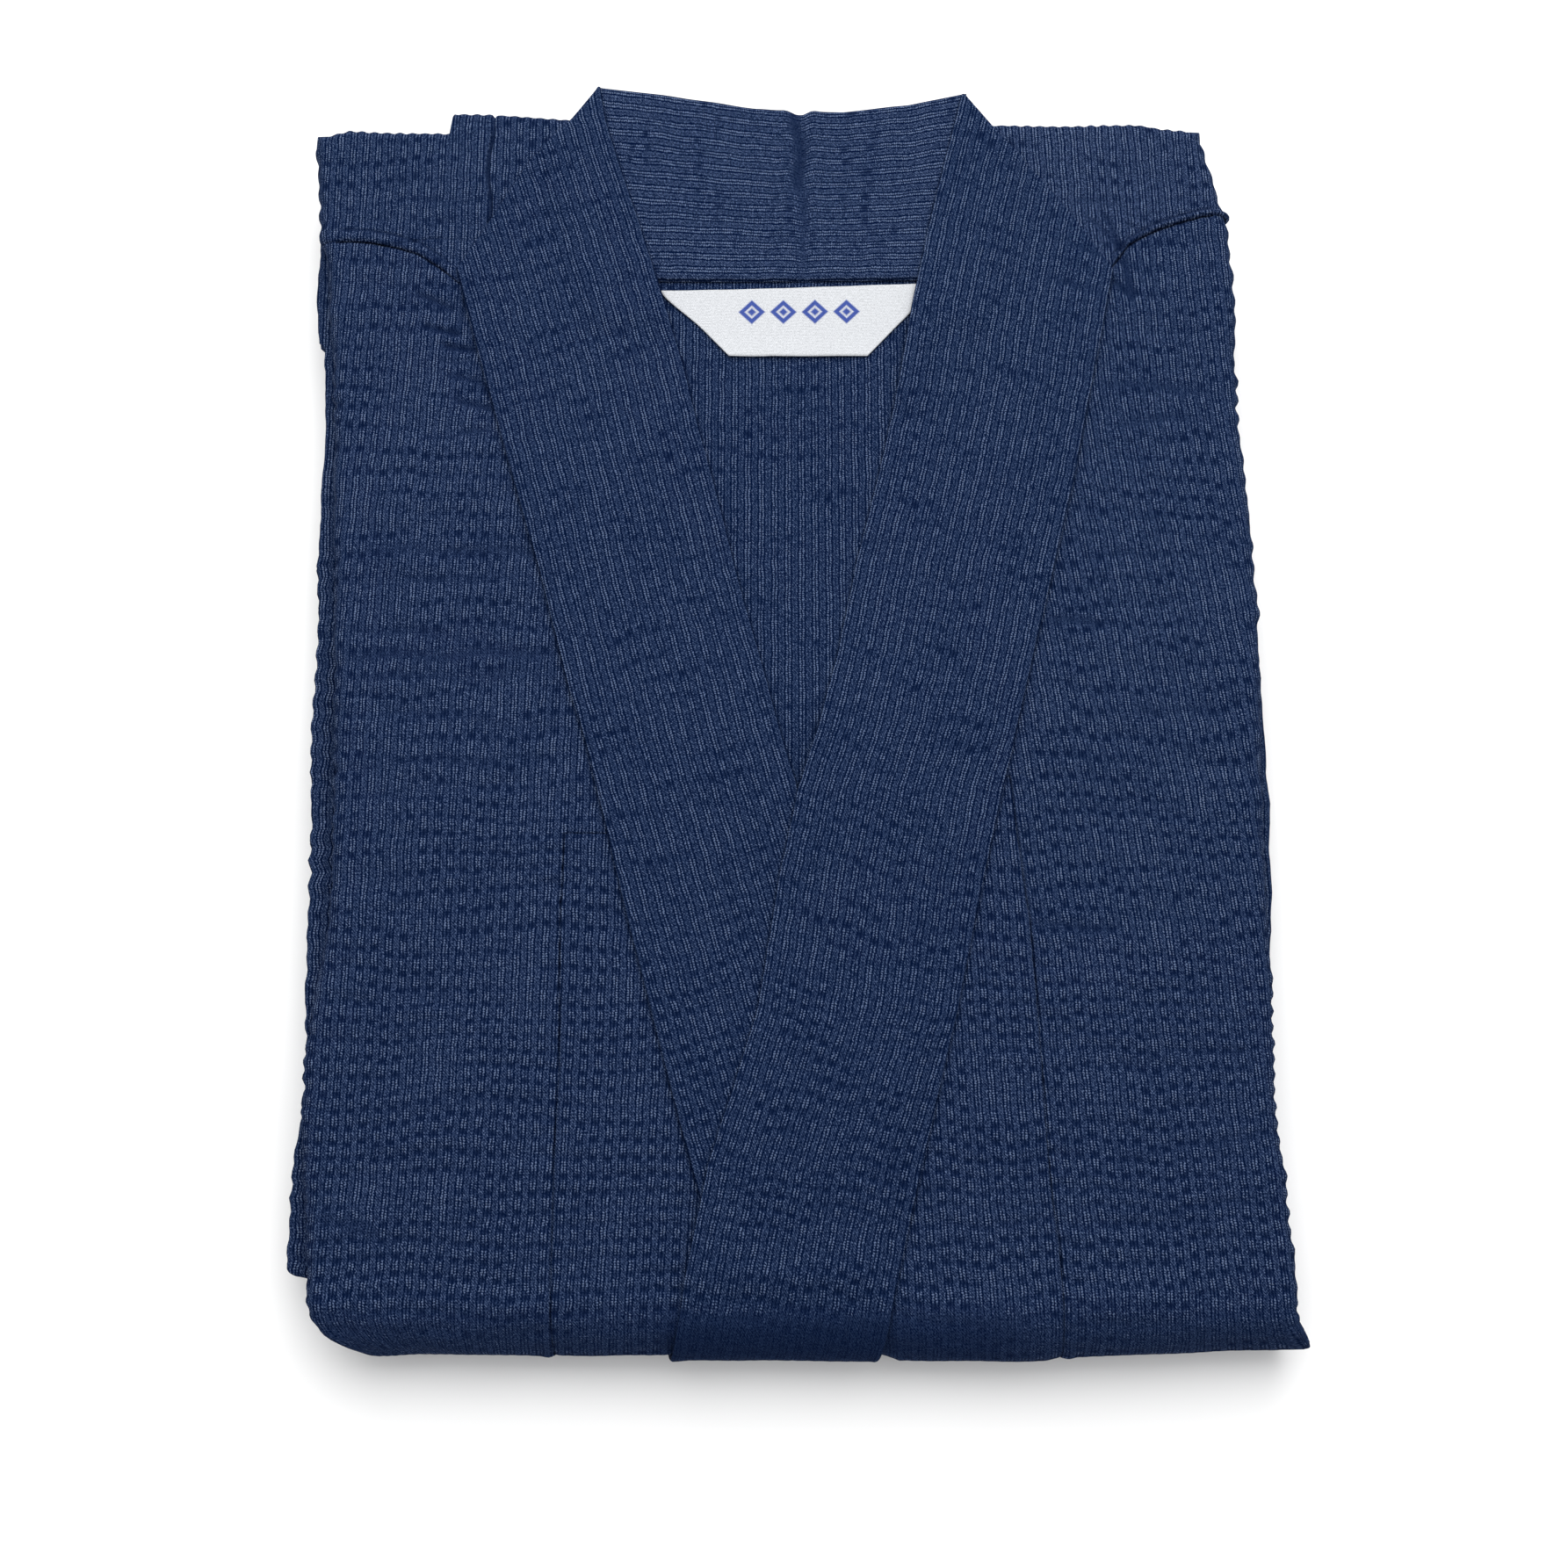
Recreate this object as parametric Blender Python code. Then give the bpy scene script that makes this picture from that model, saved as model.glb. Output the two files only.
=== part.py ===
"""A cotton yukata robe, folded into a flat parcel with its crossed collar facing up.

The parcel is described unrolled first: x runs across it, s runs along it, and h is the
height over the surface that it lies on.  Past the bottom fold line, rolled() carries the
unrolled points round the fold.  Every sheet of cloth follows the top of the folded layers,
level(), at an offset of its own, so the pieces stack without touching.

Lengths in the tables are millimetres.  -X is the left of the parcel seen from above with
the collar away from the viewer, +Y is the collar end, and Z is up.
"""

import math
from typing import Callable, NamedTuple

import bmesh
import bpy

MM = 0.001

# Driving dimensions, millimetres.
CORE_HEIGHT = 30.0        # folded layers, floor to top
MID_HEIGHT = 15.0         # plane between the upper and lower halves
BEND_LINE = -150.5        # where the bottom fold begins
SHEET = 1.2               # wall of one panel of crinkled cotton
BAND = 2.0                # wall of the folded collar band
LABEL = 1.0               # wall of the woven label
GAP = 0.3                 # clearance between neighbouring pieces
HEM_RADIUS = 3.3          # inner radius of the folds along the parcel's sides
GROOVE_DEPTH = 5.0        # how far a folded edge is tucked in between the layers
MID_DEPTH = 4.0           # depth of the slot between the two halves
MID_MOUTH = 0.6           # half the height of that slot's mouth
LAP = 12.0                # how far a panel runs on under the collar band
BACK_LAP = 9.0            # the same for the back body inside the neck opening
SEAM_RIDGE = 0.9          # extra height of the lapped shoulder seams
SEAM_RIDGE_WIDTH = 3.0    # its width along the cloth

# Shape of the top surface.
PILLOW_SIDE = 1.3         # drop towards the sides
PILLOW_END = 0.8          # drop towards the collar end
PRESS_FOLD = 1.7          # how far the collar bands sink into the bottom fold
PRESS_CROSS = 1.6         # how far they sink where they cross
HALF_WIDTH = 146.0
HALF_LENGTH = 190.0
MIDDLE = 35.0             # s of the parcel's middle

# Rounding of the bottom fold's two ends.
CORNER_LEFT = 22.0        # how far the left end is pulled in
CORNER_RIGHT = -2.0       # the right end stands out a little
CORNER_REACH = 76.0       # width over which the cloth shifts

# The bends' facets.
BEND_STEP = 15            # degrees between sections round the bottom fold
SHEET_BEND_END = 150      # degrees where the panels end under the fold
BAND_BEND_END = 135       # degrees where the collar band ends under it
HEM_STEPS = 4
LAYER_STEPS = 3
CORNER_STEPS = 4

LAID_LAYER = GAP + SHEET              # offset of a panel's outer face
BAND_BASE = LAID_LAYER + GAP          # offset of the face under what lies on a panel
RIDGE_TO_AXIS = HEM_RADIUS + LAID_LAYER


class Edge(NamedTuple):
    """Where a side of the parcel lies: s, the upper fold's edge and the layer under it."""

    s: float
    ridge: float
    layer: float


class Band(NamedTuple):
    """A collar band's two edges at one s."""

    s: float
    outer: float
    inner: float


class Spot(NamedTuple):
    """A point of a line that runs across or along the parcel."""

    x: float
    s: float


LEFT_EDGE = (
    Edge(240.0, -156.6, -155.5), Edge(222.0, -155.7, -155.0), Edge(184.6, -152.9, -154.2),
    Edge(182.2, -150.4, -154.2), Edge(170.0, -149.3, -154.6), Edge(155.0, -147.6, -153.6),
    Edge(150.0, -147.1, -152.4), Edge(146.5, -146.7, -149.6), Edge(123.0, -144.9, -149.4),
    Edge(84.0, -142.6, -148.0), Edge(27.0, -139.5, -147.2), Edge(-29.0, -137.0, -146.2),
    Edge(-44.0, -137.4, -145.7), Edge(-60.0, -140.2, -145.2), Edge(-75.0, -142.0, -144.6),
    Edge(-90.0, -142.6, -144.2), Edge(-110.0, -141.5, -145.7), Edge(-135.0, -138.9, -145.7),
    Edge(-141.0, -138.2, -144.0), Edge(-146.0, -137.8, -139.0), Edge(-150.5, -137.5, -137.0),
)
RIGHT_EDGE = (
    Edge(240.0, 137.0, 137.0), Edge(225.0, 137.7, 138.0), Edge(213.0, 140.0, 140.5),
    Edge(204.7, 141.9, 142.5), Edge(197.3, 145.0, 145.0), Edge(193.0, 146.3, 146.5),
    Edge(168.0, 145.7, 147.0), Edge(121.0, 145.5, 146.8), Edge(85.0, 146.3, 147.5),
    Edge(56.0, 148.0, 148.8), Edge(27.0, 147.9, 149.0), Edge(8.0, 147.0, 150.4),
    Edge(-20.0, 146.2, 150.8), Edge(-50.0, 146.0, 150.4), Edge(-62.0, 145.7, 147.5),
    Edge(-94.0, 144.8, 145.5), Edge(-117.0, 146.3, 146.5), Edge(-150.5, 147.6, 147.8),
)
LOWER_LEFT_EDGE = (
    Edge(240.0, -150.0, -149.0), Edge(205.0, -149.0, -147.0), Edge(160.0, -147.5, -147.0),
    Edge(100.0, -145.0, -143.0), Edge(30.0, -142.0, -144.0), Edge(-40.0, -143.0, -141.0),
    Edge(-100.0, -141.0, -142.5), Edge(-150.5, -138.0, -137.5),
)
LOWER_RIGHT_EDGE = (
    Edge(240.0, 141.0, 140.0), Edge(205.0, 143.0, 142.0), Edge(160.0, 145.0, 145.5),
    Edge(100.0, 147.0, 148.0), Edge(30.0, 148.0, 146.0), Edge(-40.0, 146.5, 148.0),
    Edge(-100.0, 147.5, 146.0), Edge(-150.5, 147.0, 147.5),
)

# Sections across the parcel: s at its left rim and at its right one.  The second and third
# lie either side of the shoulder seams, where the back's cloth ends and the fronts begin.
SHOULDER_ROWS = ((207.0, 210.0), (200.0, 205.5), (192.5, 201.0), (184.6, 194.2))
BELOW_SEAM_ROWS = (
    (182.2, 191.8), (170.0, 180.0), (158.0, 168.0), (150.0, 156.0), (146.5, 144.0),
)
ROW_STEP = 17.0           # longest run between the rows below those
ROWS_START = 132.0        # s where the evenly spaced rows begin
FOLD_RUN_IN = 9.0         # last run above the bottom fold, split in two
LAYER_COLUMNS = 12        # columns across the folded layers
PANEL_STEP = 14.0         # longest run along the small panels
BAND_STEP = 9.0           # longest run along the collar bands

# The fold along the collar end, from the left corner to the right one.  The sleeve's
# pleat stands out behind the left shoulder, so the line steps there.
COLLAR_END = (
    Spot(-156.0, 223.6), Spot(-145.0, 226.1), Spot(-137.0, 225.4), Spot(-111.2, 224.6),
    Spot(-109.4, 232.4), Spot(-99.0, 232.0), Spot(-75.0, 230.4), Spot(-55.0, 228.5),
    Spot(0.0, 226.5), Spot(50.0, 227.0), Spot(72.0, 227.7), Spot(105.0, 228.0),
    Spot(132.0, 226.7), Spot(139.0, 226.1),
)
CORE_END = (
    Spot(-156.0, 222.4), Spot(-137.0, 224.2), Spot(-111.0, 223.4), Spot(-75.0, 224.4),
    Spot(0.0, 225.6), Spot(72.0, 226.6), Spot(105.0, 226.9), Spot(139.0, 224.8),
)
LOWER_END_INSET = 3.0     # the lower half stops short of the collar end
COLLAR_END_LAYER = 1.0    # the layer under the shoulder fold stands out this much

LEFT_BAND = (
    Band(238.9, -61.7, -61.0), Band(226.5, -70.4, -58.9), Band(210.6, -84.7, -54.2),
    Band(189.7, -96.1, -47.4), Band(172.6, -106.5, -42.2), Band(138.6, -97.1, -32.1),
    Band(117.7, -91.0, -27.2), Band(92.1, -83.5, -20.4), Band(63.5, -74.9, -13.5),
    Band(35.8, -67.9, -5.9), Band(14.8, -61.2, -0.4), Band(-16.7, -53.0, 9.1),
    Band(-44.1, -46.2, 17.0), Band(-72.6, -38.4, 25.3), Band(-104.7, -29.7, 34.6),
    Band(-138.0, -20.1, 44.3),
)
RIGHT_BAND = (
    Band(236.2, 59.9, 59.0), Band(221.9, 70.7, 55.5), Band(203.2, 86.6, 50.8),
    Band(188.9, 96.7, 47.4), Band(172.6, 107.0, 44.0), Band(158.9, 104.3, 41.1),
    Band(131.9, 98.5, 36.5), Band(100.7, 92.1, 29.7), Band(72.6, 85.1, 22.8),
    Band(42.5, 77.5, 16.6), Band(18.4, 71.6, 10.6), Band(-0.9, 66.9, 4.4),
    Band(-27.7, 60.4, -1.4), Band(-69.2, 51.3, -8.1), Band(-90.5, 46.0, -14.7),
    Band(-112.9, 40.6, -21.9), Band(-136.3, 35.0, -26.7), Band(-150.5, 31.8, -29.2),
    Band(-190.0, 24.0, -36.0),
)
LEFT_BAND_TOP = 237.6     # the bands' peaks
RIGHT_BAND_TOP = 234.9
LEFT_BAND_END = -132.0    # the left band is hidden below this s
BAND_CLEAR = 23.0         # the hidden stretch stays this far inside the band over it
BAND_CORNER = 172.6       # the band is full width below this s, and turns away above it
BAND_PARTS = 5            # columns across a band
BAND_EDGE = 0.9           # width of a band's soft edge
BAND_SOFT = 0.45          # share of the band's wall that the soft edge loses
SHOULDER_END = 222.0      # s at which a shoulder's cloth leaves the band's edge
OPENING_TOP = 219.0       # the back body runs up under the back collar to this s
OPENING_TIP = -10.0       # and on under the crossing to this one
OPENING_CLEAR = 2.0       # it stays this far from the shoulders' hidden edges

LEFT_SHOULDER_SEAM = (
    Spot(-160.0, 183.4), Spot(-142.6, 183.9), Spot(-135.4, 183.3), Spot(-126.8, 181.4),
    Spot(-119.5, 178.8), Spot(-112.1, 173.8), Spot(-106.5, 169.1), Spot(-85.0, 158.0),
)
RIGHT_SHOULDER_SEAM = (
    Spot(85.0, 160.0), Spot(105.0, 172.0), Spot(109.7, 177.9), Spot(112.5, 182.0),
    Spot(116.9, 184.9), Spot(122.8, 188.0), Spot(130.1, 190.6), Spot(137.4, 192.8),
    Spot(141.7, 193.4), Spot(150.0, 193.0),
)
LEFT_SEAM_S = 183.4
RIGHT_SEAM_S = 193.0


class Column(NamedTuple):
    """A line up a shoulder: its x at the lapped seam and at the collar end."""

    seam: float
    end: float


LEFT_SHOULDER_COLUMNS = (
    Column(-106.5, -75.0), Column(-109.4, -99.0), Column(-112.1, -109.4),
    Column(-119.5, -111.2), Column(-126.8, -122.0), Column(-135.4, -134.0),
    Column(-142.6, -145.0),
)
RIGHT_SHOULDER_COLUMNS = (
    Column(105.0, 75.0), Column(109.7, 86.0), Column(112.5, 95.0), Column(116.9, 105.0),
    Column(122.8, 114.0), Column(130.1, 122.0), Column(137.4, 129.0),
)
SEAM_FADE = 45.0          # the rows near a shoulder seam follow it over this length

LEFT_OVERLAP_SEAM = (
    Spot(-66.6, 240.0), Spot(-66.4, -15.0), Spot(-67.2, -40.0), Spot(-66.2, -86.0),
    Spot(-67.0, -110.0), Spot(-66.7, -200.0),
)
RIGHT_OVERLAP_SEAM = (
    Spot(69.0, 240.0), Spot(69.0, 3.0), Spot(70.6, -15.5), Spot(73.6, -42.0),
    Spot(75.0, -65.0), Spot(77.2, -118.0), Spot(79.6, -140.0), Spot(81.5, -200.0),
)
LEFT_OVERLAP_TOP = -15.0
RIGHT_OVERLAP_TOP = 3.0

COLLAR_SEAM = 168.5       # s of the back collar's sewn edge
COLLAR_FREE_EDGE = (
    Spot(-80.0, 241.5), Spot(-61.7, 238.0), Spot(-38.0, 234.8), Spot(-10.0, 229.6),
    Spot(5.8, 228.0), Spot(20.0, 228.9), Spot(41.0, 232.2), Spot(59.5, 235.6),
    Spot(80.0, 238.0),
)
COLLAR_SHEET = 1.2
COLLAR_TOP = 234.0        # s at which the collar's width is read at its free edge
COLLAR_COLUMNS = 12
COLLAR_ROWS = 7

LABEL_TOP = 167.3
LABEL_BOTTOM = 141.8
LABEL_LEFT = (Spot(-17.7, 141.8), Spot(-38.7, 165.4), Spot(-40.0, 167.3))
LABEL_RIGHT = (Spot(26.8, 141.8), Spot(49.9, 167.3), Spot(49.9, 168.0))
LABEL_COLUMNS = 6

# A sheet that passes over another keeps its height this far past the edge under it,
# then falls back over a run of its own.
KEEP = 12.0
RUN = 10.0

NAVY = (0.012, 0.030, 0.095, 1.0)
DEEP_NAVY = (0.010, 0.024, 0.078, 1.0)
WHITE = (0.78, 0.79, 0.82, 1.0)

Point = tuple[float, float, float]
Pair = tuple[Point, Point]
Patch = list[list[Pair]]


def mix(a: float, b: float, share: float) -> float:
    """Blend two numbers."""
    return a + (b - a) * share


def ease(value: float) -> float:
    """Clamp a share to 0..1 and smooth both of its ends."""
    share = min(max(value, 0.0), 1.0)
    return share * share * (3.0 - 2.0 * share)


def read(table: tuple, key: str, column: str, value: float) -> float:
    """Read one column of a table at a value of another, with straight runs between rows."""
    rows = sorted(table, key=lambda row: getattr(row, key))
    if value <= getattr(rows[0], key):
        return getattr(rows[0], column)
    for low, high in zip(rows, rows[1:]):
        start = getattr(low, key)
        end = getattr(high, key)
        if value <= end:
            share = (value - start) / (end - start)
            return mix(getattr(low, column), getattr(high, column), share)
    return getattr(rows[-1], column)


def bend_angle(s: float) -> float:
    """Turn round the bottom fold, in radians, at s; 0 above the fold line."""
    return max(0.0, (BEND_LINE - s) / MID_HEIGHT)


def bend_s(degrees: float) -> float:
    """The s of a section of the bottom fold."""
    return BEND_LINE - math.radians(degrees) * MID_HEIGHT


def level(x: float, s: float) -> float:
    """Height of the folded layers' top, unrolled."""
    run = max(s, BEND_LINE)
    height = CORE_HEIGHT
    height -= PILLOW_SIDE * (x / HALF_WIDTH) ** 4
    height -= PILLOW_END * max(0.0, (run - MIDDLE) / HALF_LENGTH) ** 4
    height += 0.35 * math.sin(0.047 * x + 0.025 * run + 1.1)
    height += 0.30 * math.sin(0.058 * run - 0.019 * x + 0.4)
    height -= PRESS_FOLD * math.exp(-(x / 52.0) ** 2) * ease((-95.0 - run) / 55.0)
    height -= PRESS_CROSS * math.exp(-((x - 4.0) / 42.0) ** 2 - ((run + 55.0) / 60.0) ** 2)
    return mix(height, CORE_HEIGHT, ease(bend_angle(s) / math.pi))


def rolled(point: Point) -> Point:
    """Carry an unrolled point round the bottom fold."""
    x, s, h = point
    if s >= BEND_LINE:
        return point
    angle = bend_angle(s)
    radius = h - MID_HEIGHT
    pull = math.sin(angle) ** 2.5 * radius / MID_HEIGHT if angle < math.pi else 0.0
    edge = HALF_WIDTH - CORNER_REACH
    share = max(0.0, (abs(x) - edge) / CORNER_REACH) ** 2
    corner = CORNER_LEFT if x < 0.0 else CORNER_RIGHT
    x -= math.copysign(corner * share * pull, x)
    return (x, BEND_LINE - radius * math.sin(angle), MID_HEIGHT + radius * math.cos(angle))


class Station(NamedTuple):
    """A place on the parcel's rim: the fold's axis, the ways out and in, the layer's reach."""

    x: float
    s: float
    out_x: float
    out_s: float
    in_x: float
    in_s: float
    reach: float

    def at(self, out: float, height: float) -> Point:
        """The point that lies a way out from the axis, or in from it where out is negative."""
        if out >= 0.0:
            return (self.x + self.out_x * out, self.s + self.out_s * out, height)
        return (self.x - self.in_x * out, self.s - self.in_s * out, height)


def hem_point(station: Station, turn: float, offset: float, tuck: float = 0.0) -> Point:
    """A point of a folded edge.

    Args:
        station: The place on the rim.
        turn: Angle round the fold, 0 on top and pi underneath.
        offset: Distance out from the folded layers.
        tuck: How far past the fold the cloth is tucked in.
    """
    radius = HEM_RADIUS + offset
    out = radius * math.sin(turn) - tuck
    height = level(station.x, station.s) - HEM_RADIUS + radius * math.cos(turn)
    return station.at(out, height)


def side_station(table: tuple, s: float, sign: float) -> Station:
    """The rim's station on one side at s; sign is -1 on the left and 1 on the right."""
    axis = read(table, "s", "ridge", s) - sign * RIDGE_TO_AXIS
    reach = sign * (read(table, "s", "layer", s) - axis)
    return Station(axis, s, sign, 0.0, -sign, 0.0, reach)


def bend_station(upper: tuple, lower: tuple, s: float, sign: float) -> Station:
    """The same at any s, also round the bottom fold, where the upper edge meets the lower."""
    top = side_station(upper, max(s, BEND_LINE), sign)
    if s >= BEND_LINE:
        return top
    low = side_station(lower, BEND_LINE, sign)
    share = ease(bend_angle(s) / math.pi)
    return top._replace(
        x=mix(top.x, low.x, share), s=s, reach=mix(top.reach, low.reach, share)
    )


def rim_station(sign: float, s: float) -> Station:
    """The rim's station at s, on the straight runs between the rows across the parcel."""
    upper = LEFT_EDGE if sign < 0.0 else RIGHT_EDGE
    lower = LOWER_LEFT_EDGE if sign < 0.0 else LOWER_RIGHT_EDGE
    if s <= BEND_LINE:
        return bend_station(upper, lower, s, sign)
    side = 0 if sign < 0.0 else 1
    rows = sorted(row[side] for row in list(SHOULDER_ROWS) + straight_rows())
    start = max(row for row in rows if row <= s)
    later = [row for row in rows if row > s]
    low = side_station(upper, start, sign)
    if not later:
        return low._replace(s=s)
    high = side_station(upper, later[0], sign)
    share = (s - start) / (later[0] - start)
    return low._replace(
        x=mix(low.x, high.x, share), s=s, reach=mix(low.reach, high.reach, share)
    )


def steps(start: float, end: float, longest: float) -> list[float]:
    """Evenly spaced values from start to end, no step longer than the given one."""
    count = max(1, math.ceil(abs(end - start) / longest))
    return [mix(start, end, index / count) for index in range(count + 1)]


def straight_rows() -> list[tuple[float, float]]:
    """Rows from below the shoulder seams to the bottom fold line, as s at each rim."""
    below = steps(ROWS_START, RIGHT_OVERLAP_TOP, ROW_STEP)
    below += steps(LEFT_OVERLAP_TOP, BEND_LINE + FOLD_RUN_IN, ROW_STEP)
    below += [BEND_LINE + FOLD_RUN_IN / 2.0, BEND_LINE]
    return list(BELOW_SEAM_ROWS) + [(s, s) for s in below]


def bend_rows(last: int) -> list[float]:
    """The s of each section round the bottom fold, as far as a given angle."""
    return [bend_s(angle) for angle in range(BEND_STEP, last + 1, BEND_STEP)]


def layer_profile(station: Station, top: float, depth: float) -> list[Point]:
    """Section of the folded layers' rim, from the outer face in to the middle plane.

    A folded edge comes first, then the groove that holds the tucked cloth, a second
    layer, and the slot between the halves.  Heights count down from top.
    """
    groove = 2.0 * HEM_RADIUS
    below = groove + LAID_LAYER + GAP
    half = (depth - MID_MOUTH - below) / 2.0
    section = []
    for index in range(HEM_STEPS + 1):
        turn = math.pi * index / HEM_STEPS
        section.append((HEM_RADIUS * math.sin(turn), HEM_RADIUS * (1.0 - math.cos(turn))))
    section.append((-GROOVE_DEPTH, groove))
    section.append((-GROOVE_DEPTH, below))
    for index in range(LAYER_STEPS + 1):
        turn = math.pi * index / LAYER_STEPS
        out = station.reach - half + half * math.sin(turn)
        section.append((out, below + half * (1.0 - math.cos(turn))))
    section.append((-MID_DEPTH, depth))
    return [station.at(out, top - down) for out, down in section]


def corner_fan(x: float, s: float, side_reach: float, end_reach: float, sign: float) -> list:
    """Stations that fan out round a corner of the collar end, side first.

    They share the way in, along the corner's mitre, so their grooves meet in one point.
    """
    fan = []
    for index in range(CORNER_STEPS + 1):
        share = index / CORNER_STEPS
        turn = 0.5 * math.pi * share
        reach = mix(side_reach, end_reach, share)
        fan.append(Station(x, s, sign * math.cos(turn), math.sin(turn), -sign, -1.0, reach))
    return fan


def end_station(x: float, s: float, reach: float) -> Station:
    """A station on the collar end's fold."""
    return Station(x, s, 0.0, 1.0, 0.0, -1.0, reach)


def end_axis(table: tuple, x: float) -> float:
    """The s of the collar end fold's axis at x."""
    return read(table, "x", "s", x) - RIDGE_TO_AXIS


def new_object(name: str, colour: tuple, mesh: bmesh.types.BMesh) -> bpy.types.Object:
    """Finish a mesh, give it a cloth material and link it to the scene."""
    bmesh.ops.remove_doubles(mesh, verts=mesh.verts, dist=1e-7)
    bmesh.ops.recalc_face_normals(mesh, faces=mesh.faces)
    data = bpy.data.meshes.new(name)
    mesh.to_mesh(data)
    mesh.free()
    data.shade_smooth()
    data.set_sharp_from_angle(angle=math.radians(50.0))
    material = bpy.data.materials.new(name)
    material.use_nodes = True
    shader = material.node_tree.nodes["Principled BSDF"]
    shader.inputs["Base Color"].default_value = colour
    shader.inputs["Roughness"].default_value = 0.9
    shader.inputs["Metallic"].default_value = 0.0
    data.materials.append(material)
    piece = bpy.data.objects.new(name, data)
    bpy.context.collection.objects.link(piece)
    return piece


def add_face(mesh: bmesh.types.BMesh, corners: list) -> None:
    """Add a face through the corners, without those that fall on each other."""
    kept = []
    for corner in corners:
        if corner not in kept:
            kept.append(corner)
    if len(kept) > 2:
        mesh.faces.new(kept)


def shell(name: str, colour: tuple, patches: list[Patch]) -> bpy.types.Object:
    """Build one closed wall of cloth from patches of (inner, outer) unrolled points."""
    mesh = bmesh.new()
    corners: dict = {}
    edge_uses: dict = {}

    def corner(pair: Pair) -> tuple:
        """The inner and outer vertex of a pair, shared by the patches that meet there."""
        key = tuple(round(value, 3) for value in pair[0])
        if key not in corners:
            corners[key] = tuple(
                mesh.verts.new([value * MM for value in rolled(point)]) for point in pair
            )
        return corners[key]

    for patch in patches:
        for row, next_row in zip(patch, patch[1:]):
            for index in range(len(row) - 1):
                quad = [row[index], row[index + 1], next_row[index + 1], next_row[index]]
                pairs = [corner(pair) for pair in quad]
                distinct = [pair for at, pair in enumerate(pairs) if pair not in pairs[:at]]
                if len(distinct) < 3:
                    continue
                add_face(mesh, [pair[1] for pair in distinct])
                add_face(mesh, [pair[0] for pair in reversed(distinct)])
                for at, pair in enumerate(distinct):
                    after = distinct[(at + 1) % len(distinct)]
                    edge_uses.setdefault(frozenset((pair, after)), []).append((pair, after))
    for uses in edge_uses.values():
        if len(uses) == 1:
            pair, after = uses[0]
            add_face(mesh, [pair[0], after[0], after[1], pair[1]])
    return new_object(name, colour, mesh)


def laid(x: float, s: float, base: float, wall: float) -> Pair:
    """The inner and outer point of a sheet that lies flat at an offset."""
    height = level(x, s) + base
    return ((x, s, height), (x, s, height + wall))


def hem(station: Station) -> list[Pair]:
    """The pairs of a panel's folded and tucked edge at a station, from the top outwards."""
    pairs = []
    for index in range(1, HEM_STEPS + 1):
        turn = math.pi * index / HEM_STEPS
        pairs.append((hem_point(station, turn, GAP), hem_point(station, turn, LAID_LAYER)))
    tuck = GROOVE_DEPTH - 2.0 * GAP
    pairs.append((
        hem_point(station, math.pi, GAP, tuck),
        hem_point(station, math.pi, LAID_LAYER, tuck),
    ))
    return pairs


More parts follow.
